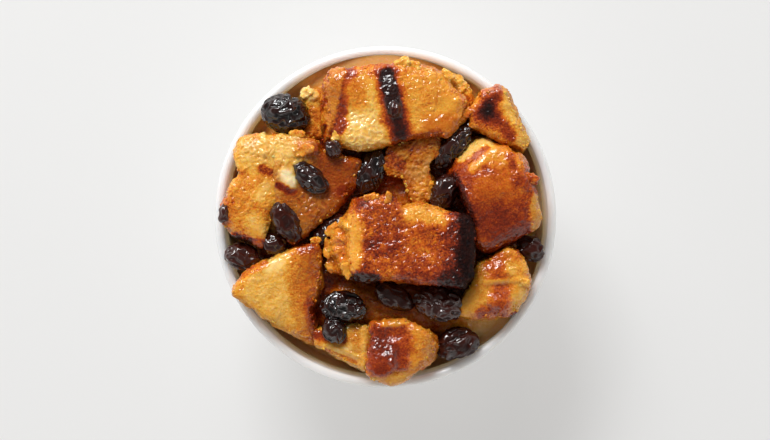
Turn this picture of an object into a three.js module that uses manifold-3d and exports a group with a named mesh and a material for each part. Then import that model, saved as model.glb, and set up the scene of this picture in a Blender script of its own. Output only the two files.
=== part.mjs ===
// Bread pudding baked in a small white bowl: torn bread chunks and raisins heaped on set custard.
// Millimetres, +Z up, origin at the centre of the underside of the bowl's foot.

import * as THREE from "three";
import { mergeVertices } from "three/addons/utils/BufferGeometryUtils.js";
import Module from "manifold-3d";

const wasm = await Module();
wasm.setup();

// ---------------------------------------------------------------- driving dimensions

// Bowl
const RIM_RADIUS = 52;
const BOWL_HEIGHT = 50;
const LIP_THICKNESS = 2.6;
const FOOT_RADIUS = 27;
const FOOT_HEIGHT = 3;
const FOOT_CHAMFER = 0.8;
const FLOOR_HEIGHT = 4.5;
const FLOOR_RADIUS = 22;
const WALL_FLARE = 0.25; // how far the wall leans out for each millimetre that it climbs
const WALL_CURVE = 4; // how late the wall turns up: a higher number gives a rounder foot
const BOWL_SIDES = 36;
const WALL_ROWS = 6;
const LIP_ROWS = 4;

// Food
const GAP = 0.3; // between any two pieces that touch
const MERGE = 1e-3;
const CUSTARD_LEVEL = 48.5; // in the middle of the bowl
const CUSTARD_DIP = 10.5; // how much lower it lies along the wall
const CUSTARD_TURN_DOWN = 9; // how late it drops on the way to the wall: a higher number is later
const CUSTARD_RINGS = 6;
const SHELVES = [ // where that share of the dip is filled in
  { compass: -42, halfWidth: 17, share: 0.8 },
  { compass: 92, halfWidth: 32, share: 0.97 },
];
const MOUND = { x: 4, y: -27, reachX: 13, reachY: 6.5, height: 2.2 }; // soaked bread under the raisins
const CHUNK_ROWS = 7;
const CHUNK_SQUARENESS = 5; // 2 is an egg, more is squarer
const CHUNK_BUMP = 0.035; // share of a chunk's own size
const LONG_EDGE = 16; // an edge of a chunk's outline that is longer than this gets a point in its middle
const RAISIN_SIDES = 10;
const RAISIN_ROWS = 6;
const RAISIN_CREASE = 0.09; // share of a raisin's own size

// Bread: heights of the top and the underside at the chunk's middle, the top's rise for each millimetre
// towards +X and +Y, and the corners of its outline, counterclockwise. A facet is a plane that trims the
// chunk: the compass direction it faces, its pitch above the horizon, and its distance from the middle.
const BREAD = {
  bread_centre: {
    top: 66, foot: 49, rise: [-0.02, -0.03],
    corners: [[-17, -17], [-5.7, -19.9], [1.2, -18.9], [15, -20.3], [23.6, -21.6], [26.6, -18], [26.4, -8],
      [25.8, 0], [9.5, 4.8], [5.2, 3], [0.6, 7], [-9.8, 5.8], [-15, -3], [-19, -9.5]],
    facets: [[180, 40, 15.5]],
  },
  bread_north: {
    top: 61, foot: 41, rise: [0.02, 0.02],
    corners: [[-20, 20], [-7, 19.8], [1.5, 20.8], [12.5, 24], [19.5, 24.8], [24, 29.5], [25, 35],
      [15.5, 44.6], [7, 46.4], [-12.6, 44.8], [-17, 43.2], [-21.5, 35], [-21.8, 28.5]],
    facets: [[200, 38, 19]],
  },
  bread_east: {
    top: 62, foot: 42, rise: [-0.05, 0.12],
    corners: [[27, -8.5], [31, -12.3], [36.5, -10.8], [46.4, -4], [47.4, 0], [46.4, 6], [42.8, 12.5],
      [42, 17], [37, 21.3], [29, 24.8], [23, 23.5], [17, 15], [22.8, 5.5], [25, -1]],
    facets: [[140, 35, 15.2], [300, 38, 16.2]],
  },
  bread_northeast: {
    top: 59.5, foot: 41, rise: [0.05, 0.12],
    corners: [[25, 26.5], [30.3, 24], [36.5, 21.8], [41.8, 19.4], [44.4, 22.6], [41, 30.4], [37, 38.6],
      [34, 39.6], [28.5, 37.8], [24.2, 32]],
    facets: [[20, 38, 9.6]],
  },
  bread_north_behind: {
    top: 55.5, foot: 41, rise: [0.0, -0.05],
    corners: [[16, 31], [26, 29.6], [27.6, 34.4], [25, 40.2], [18.2, 44.4], [12, 46]],
    facets: [],
  },
  bread_northwest: {
    top: 54, foot: 41, rise: [0.05, 0.0],
    corners: [[-25, 23.5], [-17, 23.5], [-17, 34], [-20, 38.8], [-25, 38.4]],
    facets: [],
  },
  bread_west_outer: {
    top: 57.5, foot: 41, rise: [0.06, 0.03],
    corners: [[-40.5, -8], [-37, -10], [-35.5, -3], [-32.6, 4], [-30, 10], [-29, 18], [-31, 25.4],
      [-38, 25.2], [-44.2, 24.4], [-46.4, 18], [-44.6, 13.6], [-47.6, 9], [-49.8, 3.4], [-49.4, -3],
      [-45.8, -6.6]],
    facets: [[215, 42, 16]],
  },
  bread_west_inner: {
    top: 58, foot: 43, rise: [-0.1, 0.06],
    corners: [[-28.5, -8.5], [-24, -6.6], [-18.6, -1], [-12.2, 4.6], [-8, 10], [-7.8, 17], [-18.5, 20.6],
      [-21, 23], [-26, 25], [-33, 24.6], [-34, 14], [-34.6, 4], [-33.6, -3]],
    facets: [[320, 30, 14]],
  },
  bread_southwest: {
    top: 57.5, foot: 41, rise: [-0.04, 0.1],
    corners: [[-20.5, -39.5], [-21, -33], [-22.4, -27], [-18.4, -20.5], [-18.8, -13], [-20, -8],
      [-26.5, -8.6], [-33.6, -12], [-40.6, -15.6], [-45, -19.4], [-46.6, -23.4], [-40.6, -28],
      [-33.8, -32.4], [-28, -36]],
    facets: [[345, 40, 12.5]],
  },
  bread_south_strip: {
    top: 54, foot: 41, rise: [0.05, 0.06],
    corners: [[-21.5, -39], [-14, -43.4], [-6, -46.8], [-4.6, -40], [-4, -33.8], [-10, -32.2], [-19, -33],
      [-24, -34.5]],
    facets: [],
  },
  bread_south: {
    top: 58.5, foot: 41, rise: [0.0, 0.06],
    corners: [[-6, -47.6], [1.2, -51], [6.2, -50.2], [14.6, -43.2], [16.4, -38.2], [14, -34.8], [5.4, -30.8],
      [-4.6, -31.6], [-5.2, -40]],
    facets: [[350, 32, 11.2]],
  },
  bread_southeast: {
    top: 57.5, foot: 41, rise: [-0.02, 0.04],
    corners: [[21, -30.5], [30, -31.4], [38.4, -30.8], [42.2, -26.6], [43.8, -21.8], [42.4, -14.6],
      [40.4, -9.4], [37, -8.8], [31, -11.8], [27, -14], [26, -20.5], [22, -26]],
    facets: [[290, 36, 11.6]],
  },
  bread_torn: {
    top: 56.5, foot: 49, rise: [0.02, 0.04],
    corners: [[7.4, 4.8], [9, 3.4], [13.4, 5], [14.8, 10.2], [13.4, 13.2], [14.4, 16.8], [17.2, 19],
      [15.4, 25.2], [6.8, 23.4], [1, 21], [-1.2, 15.8], [0.2, 12.6], [5, 11.2]],
    facets: [],
  },
};

// Raisins: the middle, [length, width, thickness], the compass direction of the long axis, and how steeply
// that axis climbs. The angles are in degrees.
const RAISINS = [
  { at: [-30.2, 31.0, 54.0], size: [15.2, 12.2, 10.5], turn: -6, climb: 0 },
  { at: [-22.6, 11.6, 58.2], size: [12.8, 7.6, 6.4], turn: -38, climb: -6 },
  { at: [-29.8, -1.4, 57.2], size: [13.8, 7.8, 6.6], turn: -60, climb: -8 },
  { at: [-33.8, -8.3, 53.6], size: [8.2, 6.8, 6.0], turn: -30, climb: -15 },
  { at: [-43.6, -12.2, 50.8], size: [11.0, 8.0, 7.2], turn: -14, climb: 0 },
  { at: [-17.2, -4.0, 52.6], size: [12.8, 6.6, 6.6], turn: 42, climb: 6 },
  { at: [-4.2, 13.6, 53.4], size: [14.6, 9.6, 8.0], turn: 62, climb: 4 },
  { at: [20.4, 21.2, 55.0], size: [16.6, 7.0, 6.6], turn: 50, climb: 8 },
  { at: [17.6, 7.4, 55.2], size: [12.2, 8.4, 7.6], turn: 66, climb: 6 },
  { at: [-12.8, -27.2, 55.0], size: [13.8, 9.0, 7.8], turn: -6, climb: 4 },
  { at: [-15.6, -34.2, 54.6], size: [8.6, 7.0, 6.0], turn: -62, climb: 0 },
  { at: [2.6, -24.2, 54.4], size: [13.4, 7.6, 6.6], turn: -25, climb: 0 },
  { at: [16.0, -26.4, 55.2], size: [15.0, 10.4, 8.2], turn: -14, climb: 0 },
  { at: [21.8, -38.4, 51.0], size: [13.0, 9.8, 8.4], turn: 16, climb: 0 },
  { at: [44.0, -9.6, 51.6], size: [8.8, 7.2, 6.8], turn: -28, climb: 0 },
  { at: [-15.8, 20.4, 58.8], size: [6.0, 5.0, 4.6], turn: -50, climb: -20 },
  { at: [-48.6, 1.2, 55.2], size: [6.4, 4.0, 4.0], turn: 82, climb: 0 },
];

// ---------------------------------------------------------------- materials

const porcelain = new THREE.MeshStandardMaterial({ color: 0xf6f5f0, roughness: 0.16, metalness: 0 });
const custard = new THREE.MeshStandardMaterial({ color: 0xc98a3c, roughness: 0.35, metalness: 0 });
const toasted = new THREE.MeshStandardMaterial({ color: 0xd8963e, roughness: 0.45, metalness: 0 });
const raisinSkin = new THREE.MeshStandardMaterial({ color: 0x1f1216, roughness: 0.3, metalness: 0 });

// ---------------------------------------------------------------- shared helpers

const radians = THREE.MathUtils.degToRad;

// A geometry with only merged positions left, which is what the boolean library reads.
function welded(geometry) {
  geometry.deleteAttribute("normal");
  geometry.deleteAttribute("uv");
  return mergeVertices(geometry, MERGE);
}

function solid(geometry) {
  const merged = welded(geometry);
  const mesh = new wasm.Mesh({
    numProp: 3,
    vertProperties: new Float32Array(merged.attributes.position.array),
    triVerts: new Uint32Array(merged.index.array),
  });
  return new wasm.Manifold(mesh);
}

function geometryOf(body) {
  const mesh = body.getMesh();
  const geometry = new THREE.BufferGeometry();
  geometry.setAttribute("position", new THREE.BufferAttribute(mesh.vertProperties, 3));
  geometry.setIndex(new THREE.BufferAttribute(mesh.triVerts, 1));
  geometry.computeVertexNormals();
  return geometry;
}

// A cut can leave crumbs behind; the piece is the largest of what is left.
function largest(body) {
  const pieces = body.decompose();
  return pieces.reduce((best, piece) => (piece.volume() > best.volume() ? piece : best));
}

function apart(a, b) {
  const first = a.boundingBox();
  const second = b.boundingBox();
  return [0, 1, 2].some((k) => first.min[k] > second.max[k] || second.min[k] > first.max[k]);
}

// Cuts every neighbour out of a body, leaving aside those that it doesn't reach.
function trimmed(body, neighbours) {
  const near = neighbours.filter((neighbour) => !apart(body, neighbour));
  return largest(near.reduce((rest, neighbour) => rest.subtract(neighbour), body));
}

// A ball whose points are moved by place(direction), a function of the unit vector from its middle.
// Its poles lie on the Z axis, and its first meridian on +X.
function shapedBall(sides, rows, place) {
  const ball = new THREE.SphereGeometry(1, sides, rows, Math.PI);
  ball.rotateX(Math.PI / 2);
  const merged = welded(ball);
  const points = merged.attributes.position;
  const direction = new THREE.Vector3();
  for (let i = 0; i < points.count; i += 1) {
    const placed = place(direction.fromBufferAttribute(points, i).normalize());
    points.setXYZ(i, placed.x, placed.y, placed.z);
  }
  return merged;
}

// A profile of (radius, height) points carried round the Z axis.
function spun(profile) {
  return new THREE.LatheGeometry(profile, BOWL_SIDES).rotateX(Math.PI / 2);
}

// ---------------------------------------------------------------- bowl

// Radius of a wall that leans out evenly near the rim and turns in towards a narrow foot.
function wallRadius(z, top, topRadius, foot, footRadius) {
  const turnedIn = topRadius - WALL_FLARE * (top - foot) - footRadius;
  return topRadius - WALL_FLARE * (top - z) - turnedIn * ((top - z) / (top - foot)) ** WALL_CURVE;
}

const lipRadius = LIP_THICKNESS / 2;
const lipHeight = BOWL_HEIGHT - lipRadius;

function outerRadius(z) {
  return wallRadius(z, lipHeight, RIM_RADIUS, FOOT_HEIGHT, FOOT_RADIUS);
}

function innerRadius(z) {
  return wallRadius(z, lipHeight, RIM_RADIUS - LIP_THICKNESS, FLOOR_HEIGHT, FLOOR_RADIUS);
}

// Heights from low to high, closer together where the wall turns in.
function wallHeights(foot) {
  const steps = Array.from({ length: WALL_ROWS }, (_, i) => (i + 1) / WALL_ROWS);
  return steps.map((step) => foot + (lipHeight - foot) * step ** 1.5);
}

// The bowl's section from the axis under the foot, up the outside, over the lip and down the inside to
// the axis again, with the inside and the lip moved into the food by `grow`.
function bowlProfile(grow) {
  const points = [
    new THREE.Vector2(0, 0),
    new THREE.Vector2(FOOT_RADIUS - FOOT_CHAMFER, 0),
    new THREE.Vector2(FOOT_RADIUS, FOOT_CHAMFER),
    new THREE.Vector2(FOOT_RADIUS, FOOT_HEIGHT),
  ];
  for (const z of wallHeights(FOOT_HEIGHT)) {
    points.push(new THREE.Vector2(outerRadius(z) + grow, z));
  }
  for (let row = 1; row < LIP_ROWS; row += 1) {
    const angle = (Math.PI * row) / LIP_ROWS;
    const reach = lipRadius + grow;
    const middle = RIM_RADIUS - lipRadius;
    points.push(new THREE.Vector2(middle + reach * Math.cos(angle), lipHeight + reach * Math.sin(angle)));
  }
  for (const z of wallHeights(FLOOR_HEIGHT).reverse()) {
    points.push(new THREE.Vector2(innerRadius(z) - grow, z));
  }
  points.push(new THREE.Vector2(FLOOR_RADIUS - grow, FLOOR_HEIGHT + grow));
  points.push(new THREE.Vector2(0, FLOOR_HEIGHT + grow));
  return points;
}

function bowlGeometry(grow) {
  return spun(bowlProfile(grow));
}

// ---------------------------------------------------------------- bread

function middleOf(corners) {
  const sum = corners.reduce(([x, y], corner) => [x + corner[0], y + corner[1]], [0, 0]);
  return new THREE.Vector2(sum[0] / corners.length, sum[1] / corners.length);
}

// The outline's corners and the middles of its long edges: a grid that meets them keeps every corner.
function outlineStations(corners) {
  return corners.flatMap((corner, i) => {
    const start = new THREE.Vector2(...corner);
    const end = new THREE.Vector2(...corners[(i + 1) % corners.length]);
    return start.distanceTo(end) > LONG_EDGE ? [start, start.clone().lerp(end, 0.5)] : [start];
  });
}

// The unit normal of a plane from its compass direction and its pitch above the horizon.
function facing(compass, pitch) {
  const level = Math.cos(radians(pitch));
  return new THREE.Vector3(
    level * Math.cos(radians(compass)),
    level * Math.sin(radians(compass)),
    Math.sin(radians(pitch)),
  );
}

// A chunk is a squared-off dome on its outline: with t the latitude and q the squareness, a point lies
// cos(t)^(2/q) of the way out to the outline and sin(t)^(2/q) of the way up to the top or down to the
// foot. Each facet then pulls in what lies beyond its plane, and the rise shears the whole.
function chunkGeometry(bread, grow) {
  const { top, foot, rise, corners, facets } = bread;
  const middle = middleOf(corners);
  const stations = outlineStations(corners);
  const height = (top - foot) / 2;
  const power = 2 / CHUNK_SQUARENESS;
  const wave = middle.x + 2 * middle.y;
  return shapedBall(stations.length, CHUNK_ROWS, (direction) => {
    const turn = Math.atan2(direction.y, direction.x) / (2 * Math.PI);
    const station = Math.round((turn + 1) * stations.length) % stations.length;
    const outward = stations[station].clone().sub(middle);
    const across = Math.hypot(direction.x, direction.y) ** power;
    const up = Math.sign(direction.z) * Math.abs(direction.z) ** power;
    const point = new THREE.Vector3(outward.x * across, outward.y * across, height * up);
    const beyond = facets.map(([compass, pitch, distance]) => {
      return Math.max(0, point.dot(facing(compass, pitch)) / distance) ** CHUNK_SQUARENESS;
    });
    const pulled = beyond.reduce((sum, share) => sum + share, 1) ** (-1 / CHUNK_SQUARENESS);
    const bump = Math.sin(wave + station * 2.4 + 5 * direction.z) * CHUNK_BUMP * across;
    point.multiplyScalar(pulled * (1 + bump));
    point.addScaledVector(point.clone().normalize(), grow);
    point.z += rise[0] * point.x + rise[1] * point.y + foot + height;
    return point.add(new THREE.Vector3(middle.x, middle.y, 0));
  });
}

// ---------------------------------------------------------------- raisins

// A raisin is an egg pressed flat, with lengthwise creases that fade towards its two ends.
function raisinGeometry(raisin, number, grow) {
  const half = new THREE.Vector3(...raisin.size).multiplyScalar(0.5);
  const geometry = shapedBall(RAISIN_SIDES, RAISIN_ROWS, (direction) => {
    const crease = RAISIN_CREASE * Math.sin(5 * Math.atan2(direction.y, direction.x) + number);
    const taper = 1 + 0.12 * direction.z * Math.sin(number);
    const round = 1 + crease * (1 - direction.z ** 2);
    // the ball's poles become the raisin's two ends
    const point = new THREE.Vector3(direction.z * half.x, direction.x * half.y, direction.y * half.z);
    point.y *= round * taper;
    point.z *= round * taper;
    return point.addScaledVector(point.clone().normalize(), grow);
  });
  geometry.rotateY(-radians(raisin.climb));
  geometry.rotateZ(radians(raisin.turn));
  return geometry.translate(...raisin.at);
}

// ---------------------------------------------------------------- set custard

// Height of the custard where it meets the wall, in the direction of (x, y), in which shelves are filled in.
function custardEdge(x, y) {
  const filled = SHELVES.map((shelf) => {
    const away = Math.abs(THREE.MathUtils.radToDeg(Math.atan2(y, x)) - shelf.compass);
    return shelf.share * Math.exp(-((Math.min(away, 360 - away) / shelf.halfWidth) ** 2));
  });
  return CUSTARD_LEVEL - CUSTARD_DIP * (1 - Math.max(...filled));
}

function custardReach(x, y) {
  return innerRadius(custardEdge(x, y)) - GAP;
}

// Height of the custard: level in the middle, lower along the wall, raised in a mound, and uneven.
function custardHeight(x, y) {
  const out = Math.hypot(x, y) / custardReach(x, y);
  const drop = (CUSTARD_LEVEL - custardEdge(x, y)) * out ** CUSTARD_TURN_DOWN;
  const uneven = Math.sin(x / 7 + 1) * Math.cos(y / 6) + 0.5 * Math.sin(y / 4 - x / 9);
  const mound = Math.exp(-(((x - MOUND.x) / MOUND.reachX) ** 2) - ((y - MOUND.y) / MOUND.reachY) ** 2);
  return CUSTARD_LEVEL - drop + 0.7 * uneven * (1 - out ** 4) + MOUND.height * mound;
}

// The custard fills the bowl: its underside follows the bowl's inside, and its top is a set of rings,
// closer together near the wall, that are spread to the wall and lifted to custardHeight.
function custardGeometry() {
  const edge = CUSTARD_LEVEL - CUSTARD_DIP;
  const profile = [
    new THREE.Vector2(0, FLOOR_HEIGHT + GAP),
    new THREE.Vector2(FLOOR_RADIUS - GAP, FLOOR_HEIGHT + GAP),
  ];
  for (const z of wallHeights(FLOOR_HEIGHT).filter((height) => height < edge - 1)) {
    profile.push(new THREE.Vector2(innerRadius(z) - GAP, z));
  }
  for (let ring = CUSTARD_RINGS; ring > 0; ring -= 1) {
    profile.push(new THREE.Vector2((ring / CUSTARD_RINGS) ** 0.6, edge));
  }
  profile.push(new THREE.Vector2(0, edge));
  const geometry = welded(spun(profile));
  const points = geometry.attributes.position;
  for (let i = 0; i < points.count; i += 1) {
    if (points.getZ(i) > edge - MERGE) {
      const reach = custardReach(points.getX(i), points.getY(i));
      const x = points.getX(i) * reach;
      const y = points.getY(i) * reach;
      points.setXYZ(i, x, y, custardHeight(x, y));
    }
  }
  return geometry;
}

// ---------------------------------------------------------------- the whole, in the order of giving way

// Each piece keeps its own shape where it meets a piece that comes later in this order, and is cut
// GAP clear of every piece that comes before it.
function bodies() {
  const bowlHollow = solid(bowlGeometry(GAP));
  const placed = [{ name: "bowl", material: porcelain, body: solid(bowlGeometry(0)) }];
  const taken = [bowlHollow];
  RAISINS.forEach((raisin, number) => {
    const name = `raisin_${String(number + 1).padStart(2, "0")}`;
    const body = trimmed(solid(raisinGeometry(raisin, number, 0)), taken);
    placed.push({ name, material: raisinSkin, body });
    taken.push(solid(raisinGeometry(raisin, number, GAP)));
  });
  for (const [name, bread] of Object.entries(BREAD)) {
    const body = trimmed(solid(chunkGeometry(bread, 0)), taken);
    placed.push({ name, material: toasted, body });
    taken.push(solid(chunkGeometry(bread, GAP)));
  }
  placed.push({ name: "custard", material: custard, body: trimmed(solid(custardGeometry()), taken) });
  return placed;
}

const pudding = new THREE.Group();
for (const { name, material, body } of bodies()) {
  const mesh = new THREE.Mesh(geometryOf(body), material);
  mesh.name = name;
  pudding.add(mesh);
}

export default pudding;
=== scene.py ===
# %% [markdown]
# # A bread pudding in its bowl
# Torn chunks of bread are soaked in custard, heaped in a small white bowl with raisins and baked until
# the corners that stick out turn brown and then black. This lesson builds the pudding from surfaces that
# are worked out with numpy: every shape is a formula over a grid of points, so a change of one number
# near the top of a cell changes the whole piece.

import bpy
import numpy as np
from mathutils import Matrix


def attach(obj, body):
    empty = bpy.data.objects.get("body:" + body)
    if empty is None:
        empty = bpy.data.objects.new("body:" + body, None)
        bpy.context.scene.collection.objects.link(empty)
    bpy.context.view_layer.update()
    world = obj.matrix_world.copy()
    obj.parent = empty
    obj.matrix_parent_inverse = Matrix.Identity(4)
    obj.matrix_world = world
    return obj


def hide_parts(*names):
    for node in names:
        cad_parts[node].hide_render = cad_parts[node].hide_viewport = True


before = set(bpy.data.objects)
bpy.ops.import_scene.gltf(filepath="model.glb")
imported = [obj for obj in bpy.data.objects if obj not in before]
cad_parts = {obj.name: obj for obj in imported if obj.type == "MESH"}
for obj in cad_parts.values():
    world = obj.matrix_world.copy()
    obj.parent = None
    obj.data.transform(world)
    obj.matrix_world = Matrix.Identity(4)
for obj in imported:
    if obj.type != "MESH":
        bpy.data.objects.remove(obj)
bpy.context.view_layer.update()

# %% [markdown]
# All sizes below are in millimetres, as a cook or potter would give them, and become metres only when a
# mesh is made. The bowl's sizes repeat the frame's, so that the fine bowl lies on the plain one.

# %% Sizes that everything else follows
MM = 0.001
RIM_RADIUS = 52.0
BOWL_HEIGHT = 50.0
LIP_THICKNESS = 2.6
FOOT_RADIUS = 27.0
FOOT_HEIGHT = 3.0
FOOT_CHAMFER = 0.8
FLOOR_HEIGHT = 4.5
FLOOR_RADIUS = 22.0
WALL_FLARE = 0.25
WALL_CURVE = 4
LIP_RADIUS = LIP_THICKNESS / 2
LIP_HEIGHT = BOWL_HEIGHT - LIP_RADIUS
CUSTARD_LEVEL = 48.5
GAP = 0.3  # between the frame's pieces
CELL = 0.3  # the grid on a chunk of bread
scene = bpy.context.scene

# %% [markdown]
# ## Nodes
# Light and finishes are built from nodes. Small helpers keep that short: each adds one node, fills its
# sockets with values or with other nodes' outputs, and gives back the output that is needed next.

# %% Helpers for nodes
def light_value(red, green, blue):
    """A screen colour from 0 to 255 as light: each channel c becomes ((c + 0.055) / 1.055)^2.4."""
    screen = np.array([red, green, blue]) / 255.0
    return (*(((screen + 0.055) / 1.055) ** 2.4), 1.0)


def fill_sockets(tree, node, inputs):
    """Sets each socket to its value, or links it where the value is another node's output."""
    for key, value in inputs.items():
        if isinstance(value, bpy.types.NodeSocket):
            tree.links.new(value, node.inputs[key])
        else:
            node.inputs[key].default_value = value


def add_node(tree, kind, inputs=(), **settings):
    """Adds a node, sets its properties and fills its sockets."""
    node = tree.nodes.new(kind)
    for key, value in settings.items():
        setattr(node, key, value)
    fill_sockets(tree, node, dict(inputs))
    return node


def maths(tree, operation, first, second, clamp=False):
    """Two values added, multiplied or compared, and kept from 0 to 1 where `clamp` is set."""
    inputs = {0: first, 1: second}
    return add_node(tree, "ShaderNodeMath", inputs, operation=operation, use_clamp=clamp).outputs["Value"]


def mapped(tree, value, before, after, curve="LINEAR"):
    """While the value runs through the range `before`, the result runs through `after`."""
    inputs = {"Value": value, "From Min": before[0], "From Max": before[1], "To Min": after[0],
              "To Max": after[1]}
    return add_node(tree, "ShaderNodeMapRange", inputs, interpolation_type=curve).outputs["Result"]


def mixed(tree, share, first, second, blend="MIX"):
    """The first colour, and by a share of it the second one, laid over or multiplied."""
    inputs = {0: share, 6: first, 7: second}
    return add_node(tree, "ShaderNodeMix", inputs, data_type="RGBA", blend_type=blend).outputs[2]


def coloured(tree, value, stops):
    """The colour that a scale of (place, colour) stops has at a value."""
    node = add_node(tree, "ShaderNodeValToRGB", {"Fac": value})
    elements = node.color_ramp.elements
    while len(elements) < len(stops):
        elements.new(1.0)
    for element, (place, colour) in zip(elements, stops):
        element.position = place
        element.color = colour
    return node.outputs["Color"]


# %% Helpers for finishes
def new_finish(name):
    """A material and its node tree."""
    material = bpy.data.materials.new(name)
    material.use_nodes = True
    return material, material.node_tree


def shade(tree, inputs):
    """Fills the sockets of a material's Principled shader."""
    fill_sockets(tree, tree.nodes["Principled BSDF"], inputs)


def own_place(tree):
    """Where a point lies on its object, in metres."""
    return add_node(tree, "ShaderNodeTexCoord").outputs["Object"]


def painted(tree, name):
    """A value that the mesh has at each of its points."""
    return add_node(tree, "ShaderNodeAttribute", attribute_name=name).outputs["Fac"]


def noise(tree, place, scale, detail):
    """Noise from 0 to 1 with `scale` cells in a metre."""
    inputs = {"Vector": place, "Scale": scale, "Detail": detail}
    return add_node(tree, "ShaderNodeTexNoise", inputs).outputs["Fac"]


def centred_noise(tree, place, scale, detail, swing):
    """Noise that swings from about -swing to swing round zero."""
    return mapped(tree, noise(tree, place, scale, detail), (0.25, 0.75), (-swing, swing))


def bumped(tree, height, depth, strength=1.0):
    """Normals as if the skin stood `depth` millimetres higher where `height` is 1 than where it is 0."""
    inputs = {"Height": height, "Distance": depth * MM, "Strength": strength}
    return add_node(tree, "ShaderNodeBump", inputs).outputs["Normal"]


# %% [markdown]
# ## Camera and light
# The camera looks straight down, as one does at a bowl on a table. A long lens keeps the tall chunks
# from leaning outwards. Its width of view is given at the level of the rim.

# %% Camera
CAMERA_ABOVE_RIM = 700.0
VIEW_WIDTH = 234.2
VIEW_CENTRE = (-0.15, -0.97)

camera_data = bpy.data.cameras.new("camera")
camera_data.lens = camera_data.sensor_width * CAMERA_ABOVE_RIM / VIEW_WIDTH
camera_data.clip_end = 20.0
camera = bpy.data.objects.new("camera", camera_data)
camera.location = np.array([*VIEW_CENTRE, BOWL_HEIGHT + CAMERA_ABOVE_RIM]) * MM
scene.collection.objects.link(camera)
scene.camera = camera
print("lens in mm:", round(camera_data.lens, 1))

# %% [markdown]
# Food is lit like this: a wide window stands low behind the bowl, a little to the left, and rakes across
# the heap, so that every fold shows and wet slopes that lean towards it shine. A smaller, brighter lamp in
# the window's upper half adds sharp white glints to the glaze. A pale room fills the shadows, most of all
# from the side away from the window; overhead it is dark, so that wet surfaces that face up keep their
# deep colour instead of turning grey. The colours are shown as they are, without a film look.

# %% Room
ROOM_COLOUR = (1.0, 0.975, 0.94, 1.0)
ROOM_STRENGTH = 0.80  # from the horizon up to where it starts to darken
ROOM_DARK_START = np.sin(np.radians(10.0))  # this place and the next are heights above the horizon
ROOM_DARK_END = np.sin(np.radians(52.0))
ROOM_OVERHEAD = 0.14
ROOM_FILL = 0.45  # how much brighter the room is on the side away from the window
WINDOW_COMPASS = 110.0  # degrees from +X towards +Y
WINDOW_PITCH = 36.0
LAMP_PITCH = 42.0


def facing(compass, pitch):
    """Unit vector of a compass direction and a pitch above the horizon, both in degrees."""
    turn, up = np.radians(compass), np.radians(pitch)
    return np.array([np.cos(turn) * np.cos(up), np.sin(turn) * np.cos(up), np.sin(up)])


scene.view_settings.view_transform = "Standard"
room = bpy.data.worlds.new("room")
room.use_nodes = True
room_tree = room.node_tree
direction = add_node(room_tree, "ShaderNodeTexCoord").outputs["Generated"]
upward = add_node(room_tree, "ShaderNodeSeparateXYZ", {"Vector": direction}).outputs["Z"]
darkening = mapped(room_tree, upward, (ROOM_DARK_START, ROOM_DARK_END), (ROOM_STRENGTH, ROOM_OVERHEAD),
                   "SMOOTHSTEP")
away_from_window = facing(WINDOW_COMPASS, 0.0) * -ROOM_FILL
fill_gain = add_node(room_tree, "ShaderNodeVectorMath", {0: direction, 1: away_from_window},
                     operation="DOT_PRODUCT").outputs["Value"]
room_light = maths(room_tree, "MULTIPLY", darkening, maths(room_tree, "ADD", fill_gain, 1.0))
fill_sockets(room_tree, room_tree.nodes["Background"], {"Color": ROOM_COLOUR, "Strength": room_light})
scene.world = room

# %% Window and lamp
WINDOW_DISTANCE = 1.5
WINDOW_COLOUR = (0.98, 0.995, 1.0)


def add_panel(name, pitch, width, height, power):
    """A light of so many metres by so many in the window's direction at a pitch, facing the bowl."""
    panel_data = bpy.data.lights.new(name, "AREA")
    panel_data.shape = "RECTANGLE"
    panel_data.size = width
    panel_data.size_y = height
    panel_data.energy = power
    panel_data.color = WINDOW_COLOUR
    panel = bpy.data.objects.new(name, panel_data)
    panel.location = facing(WINDOW_COMPASS, pitch) * WINDOW_DISTANCE
    panel.rotation_euler = np.radians([90.0 - pitch, 0.0, WINDOW_COMPASS + 90.0])
    scene.collection.objects.link(panel)


add_panel("window", WINDOW_PITCH, width=1.3, height=0.8, power=13.0)
add_panel("lamp", LAMP_PITCH, width=0.58, height=0.40, power=15.0)

# %% [markdown]
# ## Noise
# Food has no straight lines. Three kinds of noise give it its unevenness, all worked out for whole
# arrays of points at once: a smooth hilly one, one that keeps only the lines where the hills pass through
# zero, and one made of cells, which gives the pores of bread. Painted values fade along a bell or an S.

# %% A random number for each cell of space
PRIMES = np.array([374761393, 668265263, 2246822519, 3266489917], dtype=np.uint32)
CORNERS = np.array([[i, j, k] for i in (0, 1) for j in (0, 1) for k in (0, 1)])
SLOPES = np.array([[1, 1, 0], [-1, 1, 0], [1, -1, 0], [-1, -1, 0], [1, 0, 1], [-1, 0, 1]]
                  + [[1, 0, -1], [-1, 0, -1], [0, 1, 1], [0, -1, 1], [0, 1, -1], [0, -1, -1]]
                  + [[1, 1, 0], [0, -1, 1], [-1, 1, 0], [0, -1, -1]], dtype=np.float32)


def scrambled(cells, seed):
    """A repeatable random whole number for each cell: its coordinates times primes, mixed bit by bit."""
    x, y, z = (cells[:, axis].astype(np.int64).astype(np.uint32) for axis in range(3))
    stirred = x * PRIMES[0] + y * PRIMES[1] + z * PRIMES[2]
    stirred = stirred + np.uint32((seed * int(PRIMES[3])) % 2**32)
    stirred = (stirred ^ (stirred >> np.uint32(13))) * PRIMES[1]
    stirred = (stirred ^ (stirred >> np.uint32(15))) * PRIMES[0]
    return stirred ^ (stirred >> np.uint32(16))


# %% Bells and steps
def bell(value, width):
    """1 at zero and nearly 0 from twice the width: exp(-(value / width)^2)."""
    return np.exp(-((value / width) ** 2))


def smoothstep(low, high, value):
    """0 below low, 1 above high, and an S between: 3t^2 - 2t^3."""
    t = np.clip((value - low) / (high - low), 0.0, 1.0)
    return t * t * (3 - 2 * t)


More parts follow.
